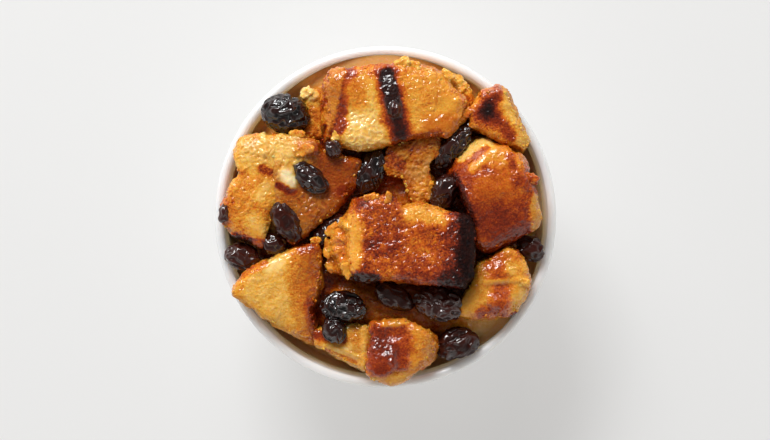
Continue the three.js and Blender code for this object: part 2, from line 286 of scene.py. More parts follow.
def compass_away(x, y, compass):
    """How many degrees, from -180 to 180, the direction of (x, y) is turned from a compass direction."""
    return (np.degrees(np.arctan2(y, x)) - compass + 180.0) % 360.0 - 180.0


# %% Hills, folds and bubbles
HILL_GAIN = 1.4  # makes the hills reach from about -1 to 1
OCTAVE_SHARE = 0.55


def hills(points, size, seed):
    """Smooth noise from about -1 to 1 whose hills are `size` mm apart. Each corner of the cell round a
    point has a random slope, and the heights those slopes give are blended with 6t^5 - 15t^4 + 10t^3."""
    scaled = (points / size).astype(np.float32)
    cell = np.floor(scaled)
    inside = scaled - cell
    ease = inside**3 * (inside * (inside * 6 - 15) + 10)
    total = np.zeros(len(points), np.float32)
    for corner in CORNERS:
        slope = SLOPES[scrambled(cell + corner, seed) & np.uint32(15)]
        share = np.prod(np.where(corner == 1, ease, 1 - ease), axis=1)
        total += share * np.einsum("ij,ij->i", slope, inside - corner)
    return total * HILL_GAIN


def rough_hills(points, size, octaves, seed):
    """Hills with smaller hills on them: each octave is half the size and a little over half as high."""
    layers = [hills(points, size / 2**k, seed + 17 * k) * OCTAVE_SHARE**k for k in range(octaves)]
    return np.sum(layers, axis=0)


def stirred_up(points, size, amount, seed):
    """The points, each moved by up to about `amount` mm by three smooth noises: lines that a later noise
    draws on them wander and fork as they do on skin."""
    return points + amount * np.stack([hills(points, size, seed + 3 * k) for k in range(3)], axis=1)


def folds(points, size, width, seed):
    """1 along thin winding lines and 0 elsewhere: a bell over the hilly noise."""
    return bell(hills(points, size, seed), width)


def bubbles(points, size, seed):
    """For points in a field of random seeds `size` mm apart: the distance to the nearest seed, in units
    of `size`. Only the eight cells nearest to a point are searched."""
    scaled = (points / size).astype(np.float32)
    cell = np.floor(scaled - 0.5)
    nearest = np.full(len(points), np.inf, np.float32)
    for corner in CORNERS:
        here = cell + corner
        number = scrambled(here, seed)
        shifts = [(number >> np.uint32(8 * k)) & np.uint32(255) for k in range(3)]
        pip = here + np.stack(shifts, axis=1) / 255.0
        nearest = np.minimum(nearest, np.linalg.norm(scaled - pip, axis=1))
    return nearest


# %% [markdown]
# ## Grids
# Every closed lump starts as the skin of a box with evenly spaced points, because such a grid has no
# poles where points crowd. A formula then moves the points. Anything turned on a wheel, such as the
# bowl, starts as a profile carried round the axis instead.

# %% Grid of a box's skin
def box_skin(counts):
    """Points on the skin of a box from -1 to 1 with counts (nx, ny, nz) of cells, and its quads facing
    outwards. Points shared by two sides appear once."""
    n = np.maximum(np.array(counts, int), 1)
    sides = []
    for axis in range(3):
        u, v = (axis + 1) % 3, (axis + 2) % 3
        i, j = (grid.ravel() for grid in np.meshgrid(np.arange(n[u]), np.arange(n[v]), indexing="ij"))
        for side in (0, n[axis]):
            corners = np.zeros((len(i), 4, 3), np.int64)
            corners[:, :, axis] = side
            for k, (di, dj) in enumerate(((0, 0), (1, 0), (1, 1), (0, 1))):
                corners[:, k, u] = i + di
                corners[:, k, v] = j + dj
            sides.append(corners if side else corners[:, ::-1])
    corners = np.concatenate(sides)
    m = n + 1
    flat = corners[..., 0] + m[0] * (corners[..., 1] + m[1] * corners[..., 2])
    used, quads = np.unique(flat.ravel(), return_inverse=True)
    lattice = np.stack([used % m[0], used // m[0] % m[1], used // (m[0] * m[1])], axis=1)
    return lattice / n * 2.0 - 1.0, quads.reshape(-1, 4)


def turned(profile, sectors):
    """A profile of (radius, height) rows from axis to axis, carried round the Z axis. The two rows on
    the axis become single points, so both poles are closed."""
    profile = np.asarray(profile, float)
    angle = np.arange(sectors) * 2 * np.pi / sectors
    radius, height = profile[1:-1, 0], profile[1:-1, 1]
    rings = np.stack(
        [radius[:, None] * np.cos(angle), radius[:, None] * np.sin(angle),
         np.repeat(height[:, None], sectors, axis=1)], axis=2,
    ).reshape(-1, 3)
    points = np.concatenate([rings, [[0, 0, profile[0, 1]], [0, 0, profile[-1, 1]]]])
    here = np.arange(sectors)
    after = (here + 1) % sectors
    base = (np.arange(len(radius) - 1) * sectors)[:, None]
    quads = np.stack([base + here, base + after, base + sectors + after, base + sectors + here], axis=2)
    last = (len(radius) - 1) * sectors
    first_fan = np.stack([after, here, np.full(sectors, len(rings))], axis=1)
    last_fan = np.stack([last + here, last + after, np.full(sectors, len(rings) + 1)], axis=1)
    return points, [quads.reshape(-1, 4), first_fan, last_fan]


# %% Normals and blur on a grid
def vertex_normals(points, quads):
    """Unit normals: each quad's normal is the cross product of its diagonals, summed at its corners."""
    across = np.cross(points[quads[:, 2]] - points[quads[:, 0]], points[quads[:, 3]] - points[quads[:, 1]])
    spread = np.repeat(across, 4, axis=0)
    at = quads.ravel()
    total = np.stack([np.bincount(at, spread[:, k], len(points)) for k in range(3)], axis=1)
    return total / np.maximum(np.linalg.norm(total, axis=1, keepdims=True), 1e-12)


def relaxed(points, quads, rounds):
    """Each point moved to the mean of its neighbours along the quads' edges, `rounds` times."""
    start = np.concatenate([quads.ravel(), np.roll(quads, -1, axis=1).ravel()])
    end = np.concatenate([np.roll(quads, -1, axis=1).ravel(), quads.ravel()])
    share = np.bincount(start, minlength=len(points))
    for _ in range(rounds):
        sums = [np.bincount(start, points[end, k], len(points)) for k in range(3)]
        points = np.stack(sums, axis=1) / share[:, None]
    return points


# %% Make an object from arrays
def make_object(name, points, faces, attributes, material, nodes=()):
    """A mesh object from points in millimetres and a list of arrays of faces, with a float attribute for
    each entry of `attributes`. It rides on the one body and stands for the given frame nodes."""
    corners = np.concatenate([part.ravel() for part in faces])
    sizes = np.concatenate([np.full(len(part), part.shape[1]) for part in faces])
    mesh = bpy.data.meshes.new(name)
    mesh.vertices.add(len(points))
    mesh.vertices.foreach_set("co", (points * MM).astype(np.float32).ravel())
    mesh.loops.add(len(corners))
    mesh.loops.foreach_set("vertex_index", corners.astype(np.int32))
    mesh.polygons.add(len(sizes))
    mesh.polygons.foreach_set("loop_start", (np.cumsum(sizes) - sizes).astype(np.int32))
    mesh.update(calc_edges=True)
    mesh.polygons.foreach_set("use_smooth", np.ones(len(sizes), bool))
    for key, values in attributes.items():
        layer = mesh.attributes.new(key, "FLOAT", "POINT")
        layer.data.foreach_set("value", np.asarray(values, np.float32))
    mesh.materials.append(material)
    thing = bpy.data.objects.new(name, mesh)
    scene.collection.objects.link(thing)
    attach(thing, "root")
    if nodes:
        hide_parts(*nodes)
    print(f"{name}: {int(np.sum(sizes - 2))} triangles")


# %% [markdown]
# ## The table
# A pale tabletop that glows a little, like a light table, catches the bowl's shadow and keeps it pale. It
# isn't part of the pudding.

# %% Tabletop
TABLE_HALF_WIDTH = 3000.0
TABLE_COLOUR = light_value(167, 167, 167)
TABLE_GLOW = 0.43
TABLE_GLOW_COLOUR = (1.0, 0.988, 0.972, 1.0)

table_finish, table_tree = new_finish("pale_table")
shade(table_tree, {
    "Base Color": TABLE_COLOUR, "Roughness": 0.8, "Specular IOR Level": 0.2,
    "Emission Color": TABLE_GLOW_COLOUR, "Emission Strength": TABLE_GLOW,
})
table_mesh = bpy.data.meshes.new("table")
table_corners = np.array([[-1, -1, 0], [1, -1, 0], [1, 1, 0], [-1, 1, 0]]) * TABLE_HALF_WIDTH * MM
table_mesh.from_pydata(table_corners.tolist(), [], [[0, 1, 2, 3]])
table_mesh.materials.append(table_finish)
table = bpy.data.objects.new("table", table_mesh)
scene.collection.objects.link(table)

# %% [markdown]
# ## The bowl
# It is thrown white porcelain: nearly straight sides that lean out a little, a rounded lip and a plain
# foot. One profile turned round the axis gives all of it. Baking leaves a thin amber film of custard on
# the inside, just above the pudding, which is painted by height and by direction. On the far side, towards
# +Y, it is painted stronger: there it is partly real film and partly painted warm light, bounced onto
# the wall from the pudding.

# %% Shape of the bowl
BOWL_SECTORS = 192
WALL_STEPS = 40
LIP_STEPS = 14


def wall_radius(z, top_radius, foot, foot_radius):
    """A wall that leans out evenly near the rim and turns in towards a narrow foot: the top radius, less
    the flare times the depth below the lip, less the fourth power of the depth's share."""
    drop = LIP_HEIGHT - z
    turned_in = top_radius - WALL_FLARE * (LIP_HEIGHT - foot) - foot_radius
    return top_radius - WALL_FLARE * drop - turned_in * (drop / (LIP_HEIGHT - foot)) ** WALL_CURVE


def outer_radius(z):
    """Radius of the bowl's outside at height z."""
    return wall_radius(z, RIM_RADIUS, FOOT_HEIGHT, FOOT_RADIUS)


def inner_radius(z):
    """Radius of the bowl's inside at height z."""
    return wall_radius(z, RIM_RADIUS - LIP_THICKNESS, FLOOR_HEIGHT, FLOOR_RADIUS)


outer_heights = FOOT_HEIGHT + (LIP_HEIGHT - FOOT_HEIGHT) * np.linspace(0, 1, WALL_STEPS)
inner_heights = LIP_HEIGHT + (FLOOR_HEIGHT - LIP_HEIGHT) * np.linspace(0, 1, WALL_STEPS)
lip_turn = np.linspace(0, np.pi, LIP_STEPS)[1:-1]
bowl_profile = np.concatenate([
    [[0, 0], [FOOT_RADIUS * 0.5, 0], [FOOT_RADIUS - FOOT_CHAMFER, 0], [FOOT_RADIUS, FOOT_CHAMFER]],
    np.stack([outer_radius(outer_heights), outer_heights], axis=1),
    np.stack([RIM_RADIUS - LIP_RADIUS + LIP_RADIUS * np.cos(lip_turn),
              LIP_HEIGHT + LIP_RADIUS * np.sin(lip_turn)], axis=1),
    np.stack([inner_radius(inner_heights), inner_heights], axis=1),
    [[FLOOR_RADIUS * 0.5, FLOOR_HEIGHT], [0, FLOOR_HEIGHT]],
])
bowl_points, bowl_faces = turned(bowl_profile, BOWL_SECTORS)

# %% Custard film inside the bowl, with painted bounce light
FILM_TOP = 49.6
FILM_FADE = 4.0  # how far below its top it is at its full strength
# The film is strongest towards this direction because warm light bounced from the pudding is painted into it
# there, on top of the real film.
BOUNCE_COMPASS = 92.0  # degrees; where it is strongest
BOUNCE_SPREAD = 60.0  # degrees
FILM_ALL_ROUND = 0.65  # its strength away from there
FILM_WAVE = 0.7  # how far its edge wanders up and down
FILM_WAVE_SIZE = 9.0
FILM_FOOT = 20.0  # it fades out between these two heights, under the pudding
FILM_FOOT_END = 30.0

bowl_x, bowl_y, bowl_z = bowl_points.T
film_level = np.clip(bowl_z, FLOOR_HEIGHT, LIP_HEIGHT)
wall_middle = (inner_radius(film_level) + outer_radius(film_level)) / 2
film_inside = np.hypot(bowl_x, bowl_y) < wall_middle
# Stronger on the far side: painted warm bounce light from the pudding, on top of the real film.
bounce_near = bell(compass_away(bowl_x, bowl_y, BOUNCE_COMPASS), BOUNCE_SPREAD)
film_and_bounce_share = FILM_ALL_ROUND + (1 - FILM_ALL_ROUND) * bounce_near
film_height = bowl_z + FILM_WAVE * hills(bowl_points, FILM_WAVE_SIZE, 3)
film = film_inside * film_and_bounce_share * smoothstep(FILM_TOP, FILM_TOP - FILM_FADE, film_height)
film = film * smoothstep(FILM_FOOT, FILM_FOOT_END, bowl_z)

# %% Glazed porcelain
PORCELAIN_COLOUR = light_value(248, 247, 244)
# The film's colour, which also carries the painted warm bounce light.
FILM_AND_BOUNCE_COLOUR = light_value(236, 204, 158)
STREAK_SCALE = 240.0  # streaks in a metre of film
STREAK_THINNEST = 0.7  # how much of the film is left in the thinnest streak


def glazed_porcelain():
    """White clay that lets light in a little, under a clear glaze. The film, which also carries painted warm
    bounce light, tints it in streaks.
    """
    material, tree = new_finish("glazed_porcelain")
    streaks = noise(tree, own_place(tree), STREAK_SCALE, 3.0)
    streaks = mapped(tree, streaks, (0.0, 1.0), (STREAK_THINNEST, 1.0))
    film_and_bounce_shown = maths(tree, "MULTIPLY", painted(tree, "film"), streaks)
    shade(tree, {
        "Base Color": mixed(tree, film_and_bounce_shown, PORCELAIN_COLOUR, FILM_AND_BOUNCE_COLOUR), "Roughness": 0.22,
        "Coat Weight": 0.4, "Coat Roughness": 0.06, "Subsurface Weight": 1.0, "Subsurface Scale": 0.007,
        "Subsurface Radius": (1.0, 0.93, 0.86),
    })
    return material


make_object("fine_bowl", bowl_points, bowl_faces, {"film": film}, glazed_porcelain(), ["bowl"])

# %% Food stays inside the bowl
WALL_CLEARANCE = 0.15


def kept_inside(points):
    """Points moved towards the axis until they clear the bowl's inside, and the round of its lip up to
    the top of the rim. What lies higher stays, so that a chunk may hang over the rim."""
    level, height = np.hypot(points[:, 0], points[:, 1]), points[:, 2]
    reach = LIP_RADIUS + WALL_CLEARANCE
    above = np.clip(height - LIP_HEIGHT, 0.0, reach)
    limit = inner_radius(np.minimum(height, LIP_HEIGHT)) - WALL_CLEARANCE
    limit = limit + reach - np.sqrt(reach**2 - above**2)
    limit = np.where(height > LIP_HEIGHT + reach, np.inf, limit)
    shrink = np.minimum(1.0, limit / np.maximum(level, 1e-9))
    return points * np.stack([shrink, shrink, np.ones(len(points))], axis=1)


# %% [markdown]
# ## Baked bread
# Bread browns in steps: cream crumb, yellow where custard soaked in, golden orange, red-brown, and black
# where a corner stood proud in the oven. One value per point, called toast, walks along that scale. Two
# more say how soaked a place is and how wet its glaze looks. Painting three numbers and letting one finish
# turn them into colour and gloss keeps all chunks of one family.

# %% Colours of bread from raw to burnt
TOAST_STOPS = [
    (0.00, light_value(250, 223, 176)),
    (0.16, light_value(244, 200, 113)),
    (0.32, light_value(236, 171, 64)),
    (0.46, light_value(223, 135, 34)),
    (0.58, light_value(200, 94, 18)),
    (0.70, light_value(150, 50, 13)),
    (0.82, light_value(86, 23, 10)),
    (0.91, light_value(40, 13, 9)),
    (1.00, light_value(20, 8, 9)),
]
SOAKED_TINT = light_value(186, 137, 92)
FLECK_SCALE = 420.0  # this scale and the others are in noise cells to a metre
FLECK_SWING = 0.10  # this swing and the next are on the toast scale
GRIT_SCALE = 1900.0
GRIT_SWING = 0.15
DOT_SCALE = 620.0
DOT_TOAST = 0.2
DOT_CHOICE = 0.62  # cells whose random value is above it have a dot
GRAIN_SCALE = 1350.0
RIPPLE_SCALE = 580.0
RIPPLE_DEPTH = 0.74
COAT_ROUGHNESS = 0.06
SKIN_SPECULAR = 0.06  # under the coat, food is nearly matt


def brown_dots(tree, place):
    """A small brown dot in about every third cell of a pattern of cells."""
    cells = add_node(tree, "ShaderNodeTexVoronoi", {"Vector": place, "Scale": DOT_SCALE})
    dot = mapped(tree, cells.outputs["Distance"], (0.06, 0.18), (DOT_TOAST, 0.0))
    return maths(tree, "MULTIPLY", dot, maths(tree, "GREATER_THAN", cells.outputs["Color"], DOT_CHOICE))


def bread_finish(name, grain_depth):
    """Toast, with flecks, grit and dots of its own, walks along the colour scale; soaked places are
    multiplied by a brown tint. Wet places have a clear, rippled coat, and the wettest are smooth.
    The flecks fade where it is burnt, which is evenly dark, where it is pale, and under the glaze; the
    grain fades where it is pale, because soaked crumb is smoother than crust."""
    material, tree = new_finish(name)
    place = own_place(tree)
    toast, soak, wet = (painted(tree, value) for value in ("toast", "soak", "wet"))
    unburnt = mapped(tree, toast, (0.66, 0.92), (1.0, 0.2))
    browned = mapped(tree, toast, (0.2, 0.5), (0.4, 1.0))
    dry = mapped(tree, wet, (0.6, 0.9), (1.0, 0.5))
    undrowned = mapped(tree, wet, (0.7, 1.0), (1.0, 0.45))
    flecks = maths(tree, "ADD", centred_noise(tree, place, FLECK_SCALE, 5.0, FLECK_SWING),
                   centred_noise(tree, place, GRIT_SCALE, 2.0, GRIT_SWING))
    flecks = maths(tree, "ADD", flecks, brown_dots(tree, place))
    for fade in (unburnt, browned, dry):
        flecks = maths(tree, "MULTIPLY", flecks, fade)
    baked = coloured(tree, maths(tree, "ADD", toast, flecks), TOAST_STOPS)
    grain = noise(tree, place, GRAIN_SCALE, 3.0)
    ripples = noise(tree, place, RIPPLE_SCALE, 2.5)
    shade(tree, {
        "Base Color": mixed(tree, soak, baked, SOAKED_TINT, "MULTIPLY"),
        "Roughness": mapped(tree, wet, (0.0, 1.0), (0.65, 0.3)), "Specular IOR Level": SKIN_SPECULAR,
        "Normal": bumped(tree, grain, grain_depth, maths(tree, "MULTIPLY", undrowned, browned)),
        "Subsurface Weight": 0.5, "Subsurface Scale": 0.0014, "Subsurface Radius": (1.0, 0.42, 0.12),
        "Coat Weight": mapped(tree, wet, (0.25, 0.7), (0.0, 1.0)), "Coat Roughness": COAT_ROUGHNESS,
        "Coat Normal": bumped(tree, ripples, RIPPLE_DEPTH, undrowned),
    })
    return material


bread = bread_finish("baked_bread", grain_depth=0.65)

# %% [markdown]
# ## Chunks of bread
# A chunk is a squared-off dome over a torn outline, trimmed by a few planes where it was pulled apart.
# It is written as a distance along each ray from its middle, which keeps one formula for the whole
# closed surface. Noise then does what tearing does: lumps, ragged sides, pores and fine crumb.

# %% Outline of a chunk
SQUARENESS = 7
OUTLINE_STEP = 0.5  # degrees
OUTLINE_BLUR = 1.6  # degrees


def cross_2d(a, b):
    """The z part of the cross product of flat vectors."""
    return a[..., 0] * b[..., 1] - a[..., 1] * b[..., 0]


def outline_reach(corners, compass):
    """How far an outline reaches from its middle in each compass direction, in radians. Where a ray
    crosses an edge its length is cross(corner, edge) / cross(ray, edge); the result is blurred a little
    round the compass, which rounds the corners off."""
    angles = np.radians(np.arange(-180.0, 180.0, OUTLINE_STEP))
    ray = np.stack([np.cos(angles), np.sin(angles)], axis=1)[:, None, :]
    start = corners[None, :, :]
    edge = np.roll(corners, -1, axis=0)[None, :, :] - start
    turn = cross_2d(ray, edge)
    turn = np.where(np.abs(turn) < 1e-9, 1e-9, turn)
    length = cross_2d(start, edge) / turn
    along = cross_2d(start, ray) / turn
    met = (along >= -1e-6) & (along <= 1 + 1e-6) & (length > 0)
    reach = np.where(met, length, 0.0).max(axis=1)
    span = int(3 * OUTLINE_BLUR / OUTLINE_STEP)
    offsets = np.arange(-span, span + 1) * OUTLINE_STEP
    weights = np.exp(-0.5 * (offsets / OUTLINE_BLUR) ** 2)
    padded = np.concatenate([reach[-span:], reach, reach[:span]])
    smooth = np.convolve(padded, weights / weights.sum(), mode="valid")
    return np.interp(compass, angles, smooth, period=2 * np.pi)


# %% Body of a chunk
def chunk_body(top, foot, rise, corners, facets):
    """For a ray with level part l and upward part u, the distance r to the skin from the middle is
    ((l / reach)^7 + (u / half height)^7 + the sum over facets of (ray . facing / distance)^7)^(-1/7).
    A facet is (compass, pitch, distance from the middle). The rise then shears the whole: it is how much
    higher the chunk stands for each millimetre along X and along Y."""
    corners = np.array(corners, float)
    middle = corners.mean(axis=0)
    half_height = (top - foot) / 2
    half = np.array([*(np.ptp(corners, axis=0) / 2), half_height])
    lattice, quads = box_skin(np.ceil(2 * half / CELL))
    ray = lattice * half
    ray = ray / np.linalg.norm(ray, axis=1, keepdims=True)
    reach = outline_reach(corners - middle, np.arctan2(ray[:, 1], ray[:, 0]))
    pull = (np.hypot(ray[:, 0], ray[:, 1]) / reach) ** SQUARENESS
    pull = pull + (np.abs(ray[:, 2]) / half_height) ** SQUARENESS
    for compass, pitch, distance in facets:
        pull = pull + np.maximum(0.0, ray @ facing(compass, pitch) / distance) ** SQUARENESS
    points = ray * pull[:, None] ** (-1 / SQUARENESS)
    points[:, 2] += points[:, :2] @ np.array(rise) + foot + half_height
    points[:, :2] += middle
    return points, quads


# %% Marks that the oven and the tearing left
BORDER_WANDER = 0.24  # how far a mark's border wanders, as a share of its half width
BORDER_FINEST = 1.4  # the border's hills are half as far apart as the mark is wide, and at least this far


def stroke(start, end, width, soft=0.4, **left):
    """A mark from one (x, y) to another. `soft` is how far its border fades to either side, as a share of
    its half width. What is left there is toast, soak and wet, which a mark sets, lift in millimetres,
    which it adds and which may be a pair for its start and its end, and froth."""
    start, end = np.array(start, float), np.array(end, float)
    return {"start": start, "end": end, "width": width, "soft": soft, **left}


def mark_share(points, mark, seed):
    """1 within a mark, 0 away from it, and a ragged border between; and how far along the mark a point
    lies, from 0 to 1."""
    run = mark["end"] - mark["start"]
    along = np.clip((points[:, :2] - mark["start"]) @ run / max(run @ run, 1e-9), 0, 1)
    away = np.linalg.norm(points[:, :2] - mark["start"] - along[:, None] * run, axis=1)
    wander = rough_hills(points, max(mark["width"] * 0.5, BORDER_FINEST), 3, seed)
    ragged = away / (mark["width"] / 2) + BORDER_WANDER * wander
    return 1 - smoothstep(1 - mark["soft"], 1 + mark["soft"], ragged), along


# %% Tear, bake and make a chunk
BLUR_REACH = 12.0  # the blur that finds proud edges, in rounds times cells
EDGE_LIMIT = 0.5  # an edge that stands prouder than this browns no further
SIDE_TILT = (0.25, 0.8)  # the upward part of the normal on a side, and on top
INSET = 0.1  # the skin is drawn in, so that its lumps end near the frame's size
# How high each noise stands and how far apart its hills or lines are, in millimetres
SWELL_HEIGHT, SWELL_SIZE = 0.8, 11.0
LUMP_HEIGHT, LUMP_SIZE = 0.16, 4.6
RAGGED_HEIGHT, RAGGED_SIZE = 0.55, 3.4
GRIT_HEIGHT, GRIT_SIZE = 0.10, 1.4
GRAIN_HEIGHT, GRAIN_SIZE = 0.10, 0.8
PORE_DEPTH, PORE_SIZE = 0.24, 1.5
CREASE_HEIGHT, CREASE_SIZE, CREASE_WIDTH = 0.24, 3.6, 0.13
FROTH_SIZE, FROTH_WIDTH = 1.7, 0.3
# Pores and creases come in patches, where a hilly noise is high
PORE_PATCH, PORE_PATCH_SIZE = (-0.3, 0.5), 4.0
CREASE_PATCH, CREASE_PATCH_SIZE = (0.0, 0.5), 4.4
PORE_WALL = (0.08, 0.42)  # from the flat bottom of a pore to its brim, in units of its size
# How far toast, soak and wet wander, and over how many millimetres
TOAST_WANDER, TOAST_SIZE = 0.15, 7.0
SOAK_WANDER, SOAK_SIZE = 0.25, 6.0
WET_WANDER, WET_SIZE = 0.30, 3.2
WET_FLICKER, FLICKER_SIZE = 0.18, 1.3
# What the shape adds to them or takes away
EDGE_TOAST = 0.24
SIDE_SOAK = 0.3
# Painted shade and light: pores are painted darker, as the shade in them, and the crests of grit and grain
# paler, as the light on them.
PORE_SHADE = 0.07
CREST_LIGHT = 0.04
# The rims of froth are painted paler, as the highlights on them.
FROTH_RIM_HIGHLIGHT = 0.12
CREASE_WET = 0.3
WETTEST = (0.8, 1.0)  # where syrup fills the crumb
WETTEST_SMOOTH = 0.75  # the share of its roughness that is lost there
finished_chunks = []  # (points, toast, normals) of each chunk, for the bits that lie on them


def torn_chunk(name, seed, top, foot, rise, corners, facets=(), toast=0.4, soak=0.0, wet=0.4, crumb=1.0,
               marks=()):
    """A chunk's skin is moved along its normal by slow swells, lumps, pores, crumb and thin wet creases,
    and by what its marks lift, which may change from one end of a mark to the other, or froth up with
    the rims of burst bubbles, whose rims are painted paler as highlights; its sides are more ragged than
    its top. Toast starts even, rises on proud edges, and wanders; pores are painted darker as shade and
    the crests of the crumb paler as light; then each mark sets its own. Each noise has a seed of its own."""
    points, quads = chunk_body(top, foot, rise, corners, facets)
    normals = vertex_normals(points, quads)
    sides = 1 - smoothstep(*SIDE_TILT, normals[:, 2])
    edges = np.einsum("ij,ij->i", points - relaxed(points, quads, int(BLUR_REACH / CELL)), normals)
    toast_at = toast + TOAST_WANDER * rough_hills(points, TOAST_SIZE, 4, seed)
    toast_at = toast_at + EDGE_TOAST * np.clip(edges, 0, EDGE_LIMIT)
    soak_at = soak + SOAK_WANDER * hills(points, SOAK_SIZE, seed + 5) + SIDE_SOAK * sides
    wet_at = wet + WET_WANDER * hills(points, WET_SIZE, seed + 6)
    wet_at = wet_at + WET_FLICKER * hills(points, FLICKER_SIZE, seed + 9)
    lift = -INSET + SWELL_HEIGHT * hills(points, SWELL_SIZE, seed + 1)
    lift = lift + LUMP_HEIGHT * rough_hills(points, LUMP_SIZE, 3, seed + 2)
    lift += sides * RAGGED_HEIGHT * rough_hills(points, RAGGED_SIZE, 3, seed + 10)
    for number, mark in enumerate(marks):
        share, along = mark_share(points, mark, seed + 31 * number)
        toast_at += share * (mark.get("toast", toast_at) - toast_at)
        soak_at += share * (mark.get("soak", soak_at) - soak_at)
        wet_at += share * (mark.get("wet", wet_at) - wet_at)
        lift += share * np.interp(along, [0, 1], np.broadcast_to(mark.get("lift", 0.0), 2))
        if "froth" in mark:
            winding = stirred_up(points, size=2.4, amount=0.5, seed=seed + 24)
            rims = folds(winding, FROTH_SIZE, FROTH_WIDTH, seed + 25)
            lift += share * mark["froth"] * (rims - 0.5)
            # The raised rims are painted paler, as highlights.
            toast_at += share * FROTH_RIM_HIGHLIGHT * (0.5 - rims)
    rough = crumb * (1 - WETTEST_SMOOTH * smoothstep(*WETTEST, wet_at))
    stirred = stirred_up(points, size=2.6, amount=0.7, seed=seed + 12)
    pores = 1 - smoothstep(*PORE_WALL, bubbles(stirred, PORE_SIZE, seed + 3))
    pores = pores * smoothstep(*PORE_PATCH, hills(points, PORE_PATCH_SIZE, seed + 15))
    grit = hills(stirred, GRIT_SIZE, seed + 4)
    grain = hills(points, GRAIN_SIZE, seed + 8)
    winding = stirred_up(points, size=5.0, amount=1.6, seed=seed + 18)
    creases = folds(winding, CREASE_SIZE, CREASE_WIDTH, seed + 19)
    creases = creases * smoothstep(*CREASE_PATCH, hills(points, CREASE_PATCH_SIZE, seed + 21))
    crumbs = GRIT_HEIGHT * grit + GRAIN_HEIGHT * grain - PORE_DEPTH * pores
    lift += rough * crumbs + CREASE_HEIGHT * creases
    # Painted shade in the pores and painted light on the crests of the crumb.
    toast_at += rough * (PORE_SHADE * pores - CREST_LIGHT * grit - CREST_LIGHT * grain)
    points = kept_inside(points + normals * lift[:, None])
    attributes = {
        "toast": np.clip(toast_at, 0.0, 1.0),
        "soak": np.clip(soak_at, 0.0, 1.0),
        "wet": np.clip(wet_at + CREASE_WET * creases, 0.0, 1.0),
    }
    finished_chunks.append((points, toast_at, normals))
    make_object(f"{name}_crumb", points, [quads], attributes, bread, [name])


# %% [markdown]
# ### The highest chunk
# It lies across the middle: torn open on its left, crusted with sugar on top, and burnt along the steep
# side on its right, where the shade of that side is painted into the near-black as well.

# %% Middle chunk
torn_chunk(
    "bread_centre", seed=11, top=66.0, foot=49.0, rise=(-0.02, -0.03),
    corners=[
        [-17, -17], [-5.7, -19.9], [1.2, -18.9], [15, -20.3], [23.6, -21.6], [26.6, -18], [26.4, -8],
        [25.8, 0], [9.5, 4.8], [5.2, 3], [0.6, 7], [-9.8, 5.8], [-15, -3], [-19, -9.5],
    ],
    facets=[(180, 40, 15.5)], toast=0.62, wet=0.68, crumb=1.0,
    marks=[
        stroke((-15, 3), (-15.5, -17), 11.0, toast=0.46, wet=0.8),
        stroke((-9.0, -1), (-8.8, -15), 3.8, toast=0.37, wet=0.95, lift=0.4, soft=0.6),
        stroke((-12.6, -4), (-12.9, -12), 1.8, toast=0.54, lift=-0.8, soft=0.6),
        stroke((-16.4, -3.4), (-14.2, -6.4), 3.4, toast=0.44, lift=1.1, wet=0.8),
        stroke((-17.6, -6.8), (-15.0, -10.6), 2.6, toast=0.42, lift=1.0, wet=0.8),
        stroke((-14.4, -1.0), (-11.4, -3.0), 2.4, toast=0.36, lift=0.9, wet=0.9),
        stroke((-17, -13), (-15.5, -17), 5.0, toast=0.52, wet=0.85),
        stroke((-3, 1), (2, -2), 9.0, toast=0.66, wet=0.7, soft=0.7),
        stroke((8, 1.5), (17, 0.2), 6.5, toast=0.38, soft=0.6),
        stroke((9, -15), (18, -18), 7.0, toast=0.68, wet=0.75, soft=0.7),
        stroke((-8.6, -18.4), (-3.6, -19.0), 4.0, toast=0.90, wet=0.9),
        stroke((21, 0), (20.4, -17), 5.0, toast=0.76, wet=0.6, soft=0.7),
        stroke((18, -19), (21, -18), 6.0, toast=0.88, wet=0.6, soft=0.6),
        # Near black along the steep right side: burnt crust, with the shade that falls on that side painted
        # in.
        stroke((25.2, 2), (25.2, -21), 7.4, toast=0.94, wet=0.3),
    ],
)

# %% [markdown]
# ### The chunks along the top
# The large one leans on the wall. Two glazed ridges cross it, one burnt black, with pale open crumb
# between them and a smooth golden face to the right. Behind it sit a torn end and a nub.

